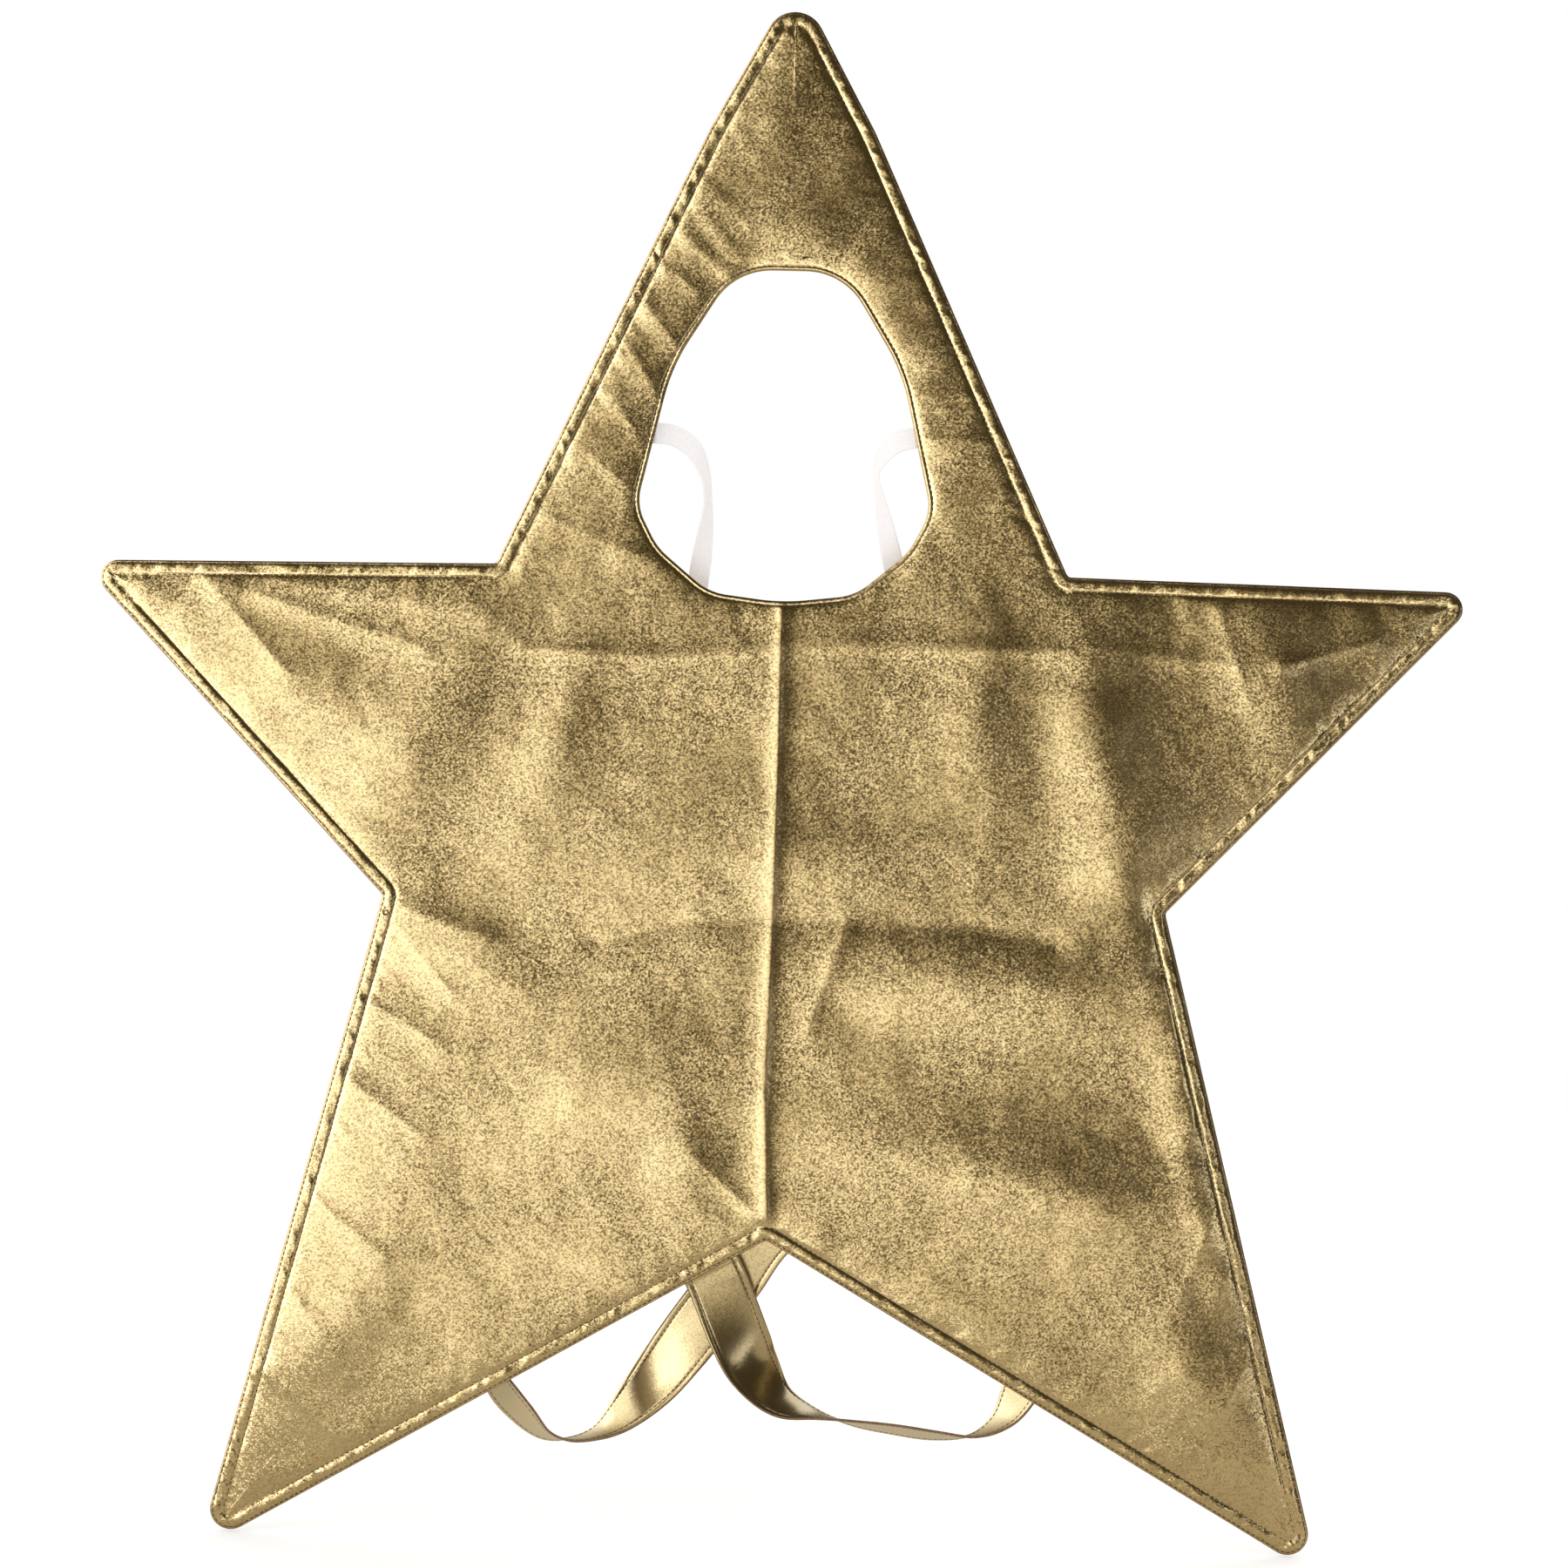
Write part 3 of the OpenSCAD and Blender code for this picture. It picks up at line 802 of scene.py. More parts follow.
@dataclass
class Wadding:
    """The thin padding inside the star, made as six closed pads."""

    finish: "Finish"
    skin: float = 1.5

    def pad(self, name: str, xz: Array, around: bool) -> bpy.types.Object:
        """Closes a front and a back surface into one pad.

        Each line of places becomes a loop, over the front and back along the back.

        Args:
            name: the piece's name.
            xz: rows, columns and x or z.
            around: whether the pad is a ring, and not a point that starts at a fold.

        Returns:
            The finished object.
        """
        rows, cols = xz.shape[:2]
        flat = pulled_in(xz.reshape(-1, 2), PADDING_WEAVE.inset)
        front, back = (
            np.column_stack([flat[:, 0], PANEL.y(flat, side, -self.skin), flat[:, 1]])
            .reshape(rows, cols, 3) for side in Side)
        if around:
            verts = np.vstack([front, back[::-1]]).transpose(1, 0, 2).reshape(-1, 3)
            faces = ring_faces(cols, 2 * rows)
        else:
            verts = np.concatenate([front, back[:, ::-1]], 1).reshape(-1, 3)
            faces = tube_faces(rows, 2 * cols, lids=1)
        faces = outwards(verts, faces).tolist()
        obj = to_mesh(name, verts, faces, cloth_uv(verts[:, [0, 2]]))
        weld(obj)
        self.finish.dress(obj)
        return obj

    def build(self) -> dict[str, bpy.types.Object]:
        """Makes all six pads."""
        xz, _, _ = torso_rows(PADDING_WEAVE)
        made = {"torso": self.pad("wadding_torso", xz, True)}
        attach(made["torso"], "root")
        for fold in FOLDS:
            xz, _ = point_rows(fold, PADDING_WEAVE)
            made[fold.name] = self.pad("wadding_" + fold.name, xz, False)
            fold.blend(made[fold.name])
        LOG.info("wadding: %d pads", len(made))
        return made


# ---------------------------------------------------------------------------- stitches
@dataclass
class Stitches:
    """A run of separate stitches, each a short thread that dips into the cloth at both ends."""

    width: float = 0.62
    length: float = 2.9
    gap: float = 0.35
    sides: int = 6

    def mesh_parts(self, start: Array, stop: Array, normal: Array) -> tuple[Array, Array]:
        """Points and faces of stitches between two arrays of places.

        Each stitch has five rings. At the share t of its length a ring lies
        0.3 * sin(pi t) - 0.12 mm above the cloth, and it is thinner at both ends.

        Args:
            start: where each stitch begins.
            stop: where each stitch ends.
            normal: the direction away from the cloth.

        Returns:
            The points and the four-sided faces.
        """
        t = np.array([0, 0.14, 0.5, 0.86, 1.0])
        size = self.width / 2 * np.array([0.35, 0.9, 1.0, 0.9, 0.35])
        lift = 0.3 * np.sin(np.pi * t) - 0.12
        heading = unit(stop - start)
        side = unit(np.cross(heading, normal))
        up = np.cross(side, heading)
        a = np.linspace(0, 2 * np.pi, self.sides, endpoint=False)
        centre = (start[:, None] + (stop - start)[:, None] * t[:, None]
                  + up[:, None] * lift[:, None])
        ring = (np.cos(a)[:, None] * side[:, None, None] + np.sin(a)[:, None] * up[:, None, None])
        verts = centre[:, :, None] + ring * size[:, None, None]
        one = outwards(verts[0].reshape(-1, 3), tube_faces(len(t), self.sides))
        shift = np.arange(len(start)) * len(t) * self.sides
        return verts.reshape(-1, 3), (one[None] + shift[:, None, None]).reshape(-1, 4)

    def places(self, total: float) -> tuple[Array, Array]:
        """Where stitches begin and end along a line of some length."""
        count = max(int(total / (self.length + self.gap)), 1)
        pitch = total / count
        first = np.arange(count) * pitch
        return first, first + pitch - self.gap

    def build(self, name: str, parts: list, finish: "Finish") -> bpy.types.Object:
        """Joins several runs into one piece of thread."""
        verts, faces, base = [], [], 0
        for start, stop, normal in parts:
            v, f = self.mesh_parts(start, stop, normal)
            verts.append(v)
            faces.append(f + base)
            base += len(v)
        v, f = np.vstack(verts), np.vstack(faces)
        obj = to_mesh(name, v, f.tolist(), v[:, [0, 2]] * MM)
        finish.dress(obj)
        return obj


def panel_run(outline: Outline, wobble: float, seed: int, run: Stitches, side: Side) -> tuple:
    """Stitches round an outline on one face of the panel, with a little wander.

    Args:
        outline: the line to follow.
        wobble: how far the line wanders, in mm.
        seed: which wandering.
        run: the kind of stitch.
        side: which face.

    Returns:
        Starts, ends and directions away from the cloth.
    """
    first, last = run.places(outline.total)

    def place(s: Array) -> Array:
        """A point on the cloth at each length along the line."""
        tangent = unit(outline.at(s + 0.5) - outline.at(s - 0.5))
        across_line = np.stack([tangent[:, 1], -tangent[:, 0]], -1)
        xz = outline.at(s) + across_line * (wobble * line_noise(s, 24, seed))[:, None]
        return np.column_stack([xz[:, 0], PANEL.y(xz, side), xz[:, 1]])

    start, stop = place(first), place(last)
    return start, stop, np.tile([0.0, float(side.value), 0.0], (len(start), 1))


def region_of(xz: Array) -> Array:
    """The number of the fold that each place lies beyond, or -1 in the middle."""
    region = np.full(len(xz), -1)
    for k, fold in enumerate(FOLDS):
        region[(xz - np.array(fold.start, float)) @ fold.normal() > 0] = k
    return region


@dataclass
class Topstitch:
    """The two lines of thread round the star and the one round the opening."""

    finish: "Finish"

    def build(self) -> dict[str, bpy.types.Object]:
        """Makes the thread of each region, and the opening's."""
        run = Stitches()
        lines = []
        for d, seed in ((EDGE_STITCH, 21), (HEM_STITCH, 22)):
            outline = Outline(rounded(inset(STAR_CORNERS, d)))
            for side in Side:
                lines.append(panel_run(outline, 0.22, seed, run, side))
        start, stop, normal = (np.vstack([line[k] for line in lines]) for k in range(3))
        region = region_of(((start + stop) / 2)[:, [0, 2]])
        made = {}
        for k, name in enumerate(["torso"] + [f.name for f in FOLDS]):
            mine = region == k - 1
            obj = run.build("thread_" + name, [(start[mine], stop[mine], normal[mine])],
                            self.finish)
            made[name] = obj
            if name == "torso":
                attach(obj, "root")
            else:
                FOLDS[k - 1].blend(obj)
        rim = Outline(rounded(inset(OPENING_CORNERS, -FACE_STITCH)))
        parts = [panel_run(rim, 0.3, 23, run, Side.FRONT)]
        made["face"] = run.build("thread_face", parts, self.finish)
        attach(made["face"], "root")
        LOG.info("stitches: %d on the star", len(start))
        return made


# ---------------------------------------------------------------------------- bands
def spline(route: Array, steps: int) -> Array:
    """The smooth curve through a route's rows, with steps places from each row to the next.

    Between b and c it is b + t(c-a)/2 + t^2(2a-5b+4c-d)/2 + t^3(3b-a-3c+d)/2.
    """
    a = np.vstack([route[:1], route[:-2]])
    b, c = route[:-1], route[1:]
    d = np.vstack([route[2:], route[-1:]])
    t = (np.arange(steps) / steps)[None, :, None]
    a, b, c, d = (q[:, None] for q in (a, b, c, d))
    curve = (b + t * (c - a) / 2 + t ** 2 * (2 * a - 5 * b + 4 * c - d) / 2
             + t ** 3 * (3 * b - a - 3 * c + d) / 2)
    return np.vstack([curve.reshape(-1, route.shape[1]), route[-1:]])


@dataclass
class Band:
    """A flat band carried along a route of x, y, z and twist, as the CAD carries it."""

    route: tuple
    width: float
    steps: int = 10
    centres: Array = field(init=False)
    wide: Array = field(init=False)
    deep: Array = field(init=False)
    along: Array = field(init=False)

    def __post_init__(self) -> None:
        """Works out the frame of the band at each place along it."""
        path = spline(np.array(self.route, float), self.steps)
        c = path[:, :3].copy()
        back_y, fades_over = 2.0, 14
        lift = PANEL.y(c[:, [0, 2]], Side.BACK) - back_y
        c[:, 1] += lift * np.clip(1.15 - (c[:, 1] - back_y) / fades_over, 0, 1)
        heading = unit(np.gradient(c, axis=0))
        a = unit(np.cross(heading, [0.0, 1.0, 0.0]))
        b = np.cross(a, heading)
        twist = np.radians(path[:, 3:])
        self.centres = c
        self.wide = np.cos(twist) * a + np.sin(twist) * b
        self.deep = np.cos(twist) * b - np.sin(twist) * a
        self.along = np.concatenate([[0], np.cumsum(np.linalg.norm(np.diff(c, axis=0), axis=1))])

    def surface(self, name: str, profile: Array) -> bpy.types.Object:
        """Carries a closed profile along the band, with a lid on both ends.

        Args:
            name: the piece's name.
            profile: rows of place across the width and place through the thickness.

        Returns:
            The object.
        """
        n, m = len(self.centres), len(profile)
        verts = (self.centres[:, None] + self.wide[:, None] * profile[None, :, :1]
                 + self.deep[:, None] * profile[None, :, 1:]).reshape(-1, 3)
        faces = outwards(verts, tube_faces(n, m))
        uv = np.stack([np.tile(profile[:, 0], n) + 30, np.repeat(self.along, m)], -1) * MM
        return to_mesh(name, verts, faces.tolist(), uv)

    def at(self, table: Array, s: Array) -> Array:
        """The rows of one of the band's tables at lengths along it."""
        return np.stack([np.interp(s, self.along, table[:, k]) for k in range(3)], -1)

    def stitches(self, offset: float, face: int, depth: float, run: Stitches) -> tuple:
        """Stitches along the band, offset from its middle, on one of its two faces."""
        first, last = run.places(float(self.along[-1]))

        def place(s: Array) -> Array:
            """A point on the band's face at each length along it."""
            return (self.at(self.centres, s) + self.at(self.wide, s) * offset
                    + self.at(self.deep, s) * face * depth)

        normal = unit(self.at(self.deep, (first + last) / 2))
        return place(first), place(last), normal * face


def flat_profile(width: float, thickness: Array, places: Array) -> Array:
    """A closed profile from half thicknesses at places from -1 to 1 across the width.

    The first half runs across on one face and the second runs back on the other.
    """
    x = places * width / 2
    there = np.column_stack([x, -thickness])
    back = np.column_stack([x[::-1], thickness[::-1]])
    return np.vstack([there, back])


def elastic_profile(width: float, thickness: float, ribs: int = 11) -> Array:
    """A band of woven rubber: rounded edges and lengthwise ribs, each one cosine."""
    x = np.linspace(-1, 1, ribs * 6 + 1)
    edge = np.sqrt(np.clip(1 - ((np.abs(x) - 0.9) / 0.1).clip(0) ** 2, 0.02, 1))
    rib = 0.86 + 0.14 * np.abs(np.cos(np.pi * ribs * (x + 1) / 2))
    return flat_profile(width, thickness / 2 * edge * rib, x)


def strap_profile(width: float, thickness: float) -> Array:
    """A folded strap: full along both turned edges, drawn in at the stitching, flat between."""
    x = np.concatenate([[-1, -.995, -.975, -.93, -.87, -.82, -.79, -.77, -.75, -.70],
                        np.linspace(-.6, .6, 9),
                        [.70, .75, .77, .79, .82, .87, .93, .975, .995, 1]])
    a = np.abs(x)
    t = 0.5 + 0.35 * ease((a - 0.79) / 0.06) - 0.16 * np.exp(-((a - 0.775) / 0.018) ** 2)
    edge = np.sqrt(np.clip(1 - ((a - 0.96) / 0.04).clip(0) ** 2, 0.03, 1))
    return flat_profile(width, thickness * t * edge, x)


ELASTIC_LEFT = (
    (-86.5, 3.4, 0, 0), (-76, 5, 0, 0), (-64, 9, -1, 5), (-53, 13, -8, 25), (-46, 16, -22, 60),
    (-44, 18, -38, 68), (-45, 18, -55, 45), (-48, 18, -80, 8), (-51, 18, -100, 0),
    (-62, 16, -150, 0), (-76, 13, -195, 0), (-86, 11.5, -218, 0), (-91, 10, -230, 0),
    (-92, 9, -238, 0),
)
ELASTIC_RIGHT = (
    (86.5, 3.4, 1, 0), (76, 5, 1, 0), (64, 8, -2, -10), (56, 11, -10, -45), (53, 13, -20, -80),
    (55, 14, -32, -70), (59, 15, -50, -40), (65, 16, -76, -5), (70, 16, -100, 0),
    (78, 15, -150, 0), (86, 12, -200, 0), (91, 10, -230, 0), (92, 9, -238, 0),
)
STRAP_LEFT = (
    (60, 3.2, -331, 0), (60, 4.6, -345, 0), (58, 7.5, -372, 0), (48, 11, -404, 0),
    (27, 14, -435, 0), (-1, 17, -461, 0), (-17, 18.5, -485, 0), (-32, 20, -506, -5),
    (-48, 21, -528, -20), (-64, 22, -549, -37), (-82, 23, -568, -62), (-97, 23.5, -579, -86),
    (-112, 24, -583, -98), (-127, 24, -580, -111), (-140, 23, -568, -122), (-154, 23, -551, -122),
    (-170, 22, -520, -98), (-181, 20, -470, -60), (-173, 16, -420, -28), (-142, 10, -382, -6),
    (-121, 6, -354, 0), (-118, 4.2, -341, 0), (-118, 3.2, -331, 0),
)
STRAP_RIGHT = (
    (-60, 3.2, -331, 0), (-60, 4.2, -345, 0), (-60, 5.5, -372, 0), (-56, 7, -404, 0),
    (-47, 8, -440, 0), (-34, 9, -474, 0), (-26, 9.5, -491, 0), (-13, 11, -522, 15),
    (-4, 13, -539, 35), (10, 16, -555, 62), (29, 19, -563, 88), (52, 21, -569, 103),
    (78, 23, -573, 108), (101, 24, -576, 107), (122, 25, -576, 98), (137, 26, -568, 82),
    (148, 26, -552, 62), (164, 25, -515, 44), (176, 22, -470, 28), (171, 17, -420, 12),
    (142, 10, -382, 2), (121, 6, -354, 0), (118, 4.2, -341, 0), (118, 3.2, -331, 0),
)
STRAP_TOP_Z = -331
ELASTIC_WIDTH = 12.0
STRAP_WIDTH = 35.0


@dataclass
class Elastics:
    """Both white elastic loops with their sewn ends."""

    finish: "Finish"
    thickness: float = 1.2
    doubled: float = 1.9

    def build(self) -> None:
        """Makes the loops and the four sewn ends."""
        for side, route in ((-1, ELASTIC_LEFT), (1, ELASTIC_RIGHT)):
            hand = "left" if side < 0 else "right"
            loop = Band(route, ELASTIC_WIDTH).surface(
                "elastic_loop_" + hand, elastic_profile(ELASTIC_WIDTH, self.thickness))
            self.finish.dress(loop)
            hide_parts("elastic_" + hand)
            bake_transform(loop)
            ends = self.ends(side, hand)
            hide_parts("elastic_ends_" + hand)
            LOG.info("elastic %s: loop and two ends", hand)

    def ends(self, side: int, hand: str) -> bpy.types.Object:
        """Makes the doubled end beside the opening and the lower one, which rises to the loop."""
        top_z = 0 if side < 0 else 1
        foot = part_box("elastic_ends_" + hand)[0][2] / MM
        upper = Band(((side * 103, 3.1, top_z, 0), (side * 97, 3.15, top_z, 0),
                      (side * 91, 3.15, top_z, 0), (side * 86.8, 3.3, top_z, 0)), ELASTIC_WIDTH)
        lower = Band(((side * 92, 3.1, foot, 0), (side * 92, 3.15, foot + 7, 0),
                      (side * 92, 3.2, foot + 13, 0), (side * 92, 5.6, foot + 19, 0),
                      (side * 92, 8.6, foot + 25.5, 0)), ELASTIC_WIDTH)
        profile = elastic_profile(ELASTIC_WIDTH, self.doubled)
        parts = [band.surface("part", profile) for band in (upper, lower)]
        obj = joined("elastic_ends_sewn_" + hand, parts)
        self.finish.dress(obj)
        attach(obj, "root")
        return obj


def joined(name: str, parts: list) -> bpy.types.Object:
    """Joins objects into one, which takes the name."""
    bm = bmesh.new()
    for part in parts:
        bm.from_mesh(part.data)
    mesh = bpy.data.meshes.new(name)
    bm.to_mesh(mesh)
    bm.free()
    for part in parts:
        bpy.data.objects.remove(part)
    obj = bpy.data.objects.new(name, mesh)
    bpy.context.scene.collection.objects.link(obj)
    return obj


@dataclass
class Straps:
    """Both cloth straps with their edge stitching and sewn ends."""

    outer: "Finish"
    inner: "Finish"
    edge: "Finish"
    thread: "Finish"
    thickness: float = 1.0
    sewn_thickness: float = 1.25
    stitch_place: float = 13.6
    stitch_depth: float = 0.36
    bend: float = 45

    def build(self) -> None:
        """Makes both straps, their threads and their sewn ends."""
        run = Stitches(width=0.5, length=2.8)
        for hand, route in (("left", STRAP_LEFT), ("right", STRAP_RIGHT)):
            band = Band(route, STRAP_WIDTH, steps=12)
            strap = band.surface("cloth_strap_" + hand,
                                 strap_profile(STRAP_WIDTH, self.thickness))
            self.dress(strap)
            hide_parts("strap_" + hand)
            runs = [band.stitches(offset, face, self.stitch_depth, run)
                    for offset in (-self.stitch_place, self.stitch_place) for face in (-1, 1)]
            thread = run.build("strap_thread_" + hand, runs, self.thread)
            for obj in (strap, thread):
                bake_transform(obj)
            self.ends(hand)
            LOG.info("strap %s: %.0f mm long", hand, band.along[-1])

    def dress(self, obj: bpy.types.Object) -> None:
        """Gives the strap its shiny outer face, its matt inner face and its worn edges."""
        for finish in (self.outer, self.inner, self.edge):
            obj.data.materials.append(finish.material())
        points = len(strap_profile(STRAP_WIDTH, self.thickness))
        half = points // 2
        k = np.arange(len(obj.data.polygons)) % points
        index = np.where(k < half, 0, 1)
        index = np.where((k % half < 2) | (k % half > half - 4), 2, index)
        obj.data.polygons.foreach_set("material_index", index.astype(np.int32))

    def ends(self, hand: str) -> None:
        """Makes the two ends that are sewn down on the lining."""
        spots = (60, -118) if hand == "left" else (-60, 118)
        parts = []
        for x in spots:
            band = Band(((x, 2.95, STRAP_TOP_Z - 3, 0), (x, 2.85, STRAP_TOP_Z + 4, 0),
                         (x, 2.85, STRAP_TOP_Z + 12, 0), (x, 2.8, STRAP_TOP_Z + 20, 0)),
                        STRAP_WIDTH)
            parts.append(band.surface("part", strap_profile(STRAP_WIDTH, self.sewn_thickness)))
        obj = joined("strap_ends_sewn_" + hand, parts)
        self.outer.dress(obj)
        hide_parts("strap_ends_" + hand)
        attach(obj, "root")


# ---------------------------------------------------------------------------- small pieces
@dataclass
class FaceFacing:
    """The strip of gold cloth that turns through the opening and lies round its back."""

    finish: "Finish"
    half_rim: float = 1.6
    columns: int = 520

    def build(self) -> bpy.types.Object:
        """Carries a closed profile round the opening.

        Each row of the profile is a distance outside the rim and a share of the way from the
        front's rim to the back's face, with the space above that face.
        """
        outer = ((0.02, -0.45, 0), (0, 0.2, 0), (0.05, 0.8, 0), (0.45, 1, 0.25), (1.4, 1, 0.5),
                 (2.5, 1, 0.3), (4.5, 1, 0.55), (6.8, 1, 0.45), (7.7, 1, 0.3), (8.0, 1, 0.12))
        inner = ((7.4, 1, 0.04), (4.5, 1, 0.08), (1.6, 1, 0.02), (0.7, 0.7, 0), (0.45, 0.1, 0),
                 (0.45, -0.4, 0))
        rows = []
        for d, share, above in outer + inner:
            ring = Outline(rounded(inset(OPENING_CORNERS, -d), 20))
            xz = ring.at(np.linspace(0, ring.total, self.columns, endpoint=False))
            back = PANEL.depth(xz, Side.BACK) if share == 1 else self.half_rim
            y = back * share + above - PANEL.relief(xz)
            rows.append(np.column_stack([xz[:, 0], y, xz[:, 1]]))
        loop = np.stack(rows)
        n, cols = loop.shape[:2]
        verts = loop.reshape(-1, 3)
        faces = outwards(verts, ring_faces(n, cols))
        wear = np.repeat([0.7, 0.8, 0.7] + [0.1] * (n - 3), cols)
        obj = to_mesh("opening_facing", verts, faces.tolist(), cloth_uv(verts[:, [0, 2]]), wear)
        self.finish.dress(obj)
        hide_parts("face_facing")
        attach(obj, "root")
        LOG.info("facing: %d faces", len(faces))
        return obj


@dataclass
class SewnMarks:
    """Box stitches over the sewn ends, the blank label and a stray knot of thread."""

    thread: "Finish"
    label: "Finish"
    knot_radius: float = 0.22
    tack_height: float = 2.05
    strap_tack_height: float = 1.5

    def box_runs(self, x: float, z: float, w: float, h: float, above: float,
                 run: Stitches) -> list:
        """Stitches round a rectangle at x and z, w wide and h high, with a cross inside it.

        Args:
            x: the rectangle's middle.
            z: the same, upwards.
            w: its width.
            h: its height.
            above: how far the stitches stand off the lining.
            run: the kind of stitch.

        Returns:
            Starts, ends and directions of the stitches, one group for each line.
        """
        c = np.array([[-w, h], [w, h], [w, -h], [-w, -h], [-w, h]]) / 2 + [x, z]
        lines = [(c[k], c[k + 1]) for k in range(4)] + [(c[0], c[2]), (c[1], c[3])]
        runs = []
        for a, b in lines:
            first, last = run.places(float(np.linalg.norm(b - a)))
            ends = [a + unit(b - a) * s[:, None] for s in (first, last)]
            start, stop = (np.column_stack([xz[:, 0], PANEL.y(xz, Side.BACK, above), xz[:, 1]])
                           for xz in ends)
            runs.append((start, stop, np.tile([0.0, 1.0, 0.0], (len(first), 1))))
        return runs

    def build_tacks(self) -> None:
        """Makes the thread over all eight sewn ends."""
        run = Stitches(width=0.5, length=2.0, gap=0.25)
        runs = []
        for side in (-1, 1):
            runs += self.box_runs(side * 96, 0.5 + side * 0.5, 9, 8, self.tack_height, run)
            runs += self.box_runs(side * 92, -259, 8, 8, self.tack_height, run)
            for x in (60, 118):
                runs += self.box_runs(side * x, -320, 28, 13, self.strap_tack_height, run)
        obj = run.build("bar_tack_threads", runs, self.thread)
        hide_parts("bar_tacks")
        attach(obj, "root")

    def build_label(self) -> None:
        """Makes the blank label, sewn along its top and lifting a little at its foot."""
        low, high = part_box("care_label")
        x = np.linspace(low[0], high[0], 15) / MM
        z = np.linspace(high[2], low[2], 21) / MM
        xz = np.stack(np.meshgrid(x, z), -1).reshape(-1, 2)
        drop = (z[0] - xz[:, 1]) / (z[0] - z[-1])
        lift = 0.15 + 1.1 * drop ** 2 + 0.25 * drop * np.sin(xz[:, 0] / 3.4)
        under = np.column_stack([xz[:, 0], PANEL.y(xz, Side.BACK, 0.2) + lift, xz[:, 1]])
        over = under + np.array([0, 0.22, 0])
        rows, cols = len(z), len(x)
        verts = np.concatenate([over.reshape(rows, cols, 3),
                                under.reshape(rows, cols, 3)[:, ::-1]], 1).reshape(-1, 3)
        faces = outwards(verts, tube_faces(rows, 2 * cols))
        obj = to_mesh("blank_label", verts, faces.tolist(), cloth_uv(verts[:, [0, 2]]))
        self.label.dress(obj)
        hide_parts("care_label")
        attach(obj, "root")

    def build_knot(self) -> None:
        """Makes a curl of thread with two loose tails, as a tube along a path."""
        low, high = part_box("thread_knot")
        cx, cz = (low[0] + high[0]) / 2 / MM, (low[2] + high[2]) / 2 / MM
        t = np.linspace(0, 1, 90)
        a = 2 * np.pi * (1.9 * t + 0.1)
        r = 1.9 - 0.9 * t + 0.5 * np.sin(9 * t)
        xz = np.column_stack([cx + r * np.cos(a), cz + r * np.sin(a)])
        tail = ease((t - 0.86) / 0.14)[:, None] * np.array([2.6, 4.2])
        head = ease((0.12 - t) / 0.12)[:, None] * np.array([-3.0, 1.8])
        xz = xz + tail + head
        y = PANEL.y(xz, Side.FRONT, 0.45) - 0.5 * np.sin(np.pi * t) ** 2
        path = np.column_stack([xz[:, 0], y, xz[:, 1]])
        heading = unit(np.gradient(path, axis=0))
        side = unit(np.cross(heading, [0.0, 1.0, 0.0]))
        up = np.cross(side, heading)
        b = np.linspace(0, 2 * np.pi, 8, endpoint=False)
        ring = np.cos(b)[:, None] * side[:, None] + np.sin(b)[:, None] * up[:, None]
        verts = (path[:, None] + self.knot_radius * ring).reshape(-1, 3)
        faces = outwards(verts, tube_faces(len(t), len(b)))
        obj = to_mesh("thread_curl", verts, faces.tolist(), verts[:, [0, 2]] * MM)
        self.thread.dress(obj)
        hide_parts("thread_knot")
        FOLDS[3].blend(obj)


# ---------------------------------------------------------------------------- finishes
class Nodes:
    """Adds nodes to one tree and joins them."""

    def __init__(self, tree: bpy.types.NodeTree) -> None:
        """Keeps the tree."""
        self.tree = tree

    def add(self, kind: str, inputs: dict | None = None, **settings: object) -> bpy.types.Node:
        """Adds a node, sets its options, and sets or joins its inputs.

        Args:
            kind: the node's type, without the ShaderNode in front.
            inputs: values or sockets by input name or number.
            settings: the node's options.

        Returns:
            The node.
        """
        node = self.tree.nodes.new("ShaderNode" + kind)
        for key, value in settings.items():
            setattr(node, key, value)
        for key, value in (inputs or {}).items():
            if isinstance(value, bpy.types.NodeSocket):
                self.tree.links.new(value, node.inputs[key])
            else:
                node.inputs[key].default_value = value
        return node

    def math(self, operation: str, *values: object) -> bpy.types.NodeSocket:
        """The result of a Math node on values or sockets."""
        return self.add("Math", dict(enumerate(values)), operation=operation).outputs[0]

    def vector(self, operation: str, inputs: dict) -> bpy.types.NodeSocket:
        """The vector result of a Vector Math node."""
        return self.add("VectorMath", inputs, operation=operation).outputs[0]

    def ramp(self, value: object, low: float, high: float, a: float = 0.0,
             b: float = 1.0) -> bpy.types.NodeSocket:
        """value from low to high, turned smoothly into a to b."""
        return self.add("MapRange", {"Value": value, "From Min": low, "From Max": high,
                                     "To Min": a, "To Max": b},
                        interpolation_type="SMOOTHSTEP").outputs[0]

    def ramp_colours(self, value: object, stops: tuple) -> bpy.types.NodeSocket:
        """The colour at a value on a ramp of (place, colour) stops."""
        node = self.add("ValToRGB", {0: value})
        points = node.color_ramp.elements
        for _ in stops[2:]:
            points.new(0.5)
        for point, stop in zip(points, stops):
            point.position = stop[0]
        for point, stop in zip(points, stops):
            point.color = (*stop[1], 1)
        return node.outputs[0]

    def mix(self, share: object, a: object, b: object) -> bpy.types.NodeSocket:
        """Two colours mixed by a share."""
        node = self.add("Mix", data_type="RGBA")
        for key, value in (("Factor_Float", share), ("A_Color", a), ("B_Color", b)):
            socket = next(s for s in node.inputs if s.identifier == key)
            if isinstance(value, bpy.types.NodeSocket):
                self.tree.links.new(value, socket)
            else:
                socket.default_value = value
        return next(s for s in node.outputs if s.identifier == "Result_Color")


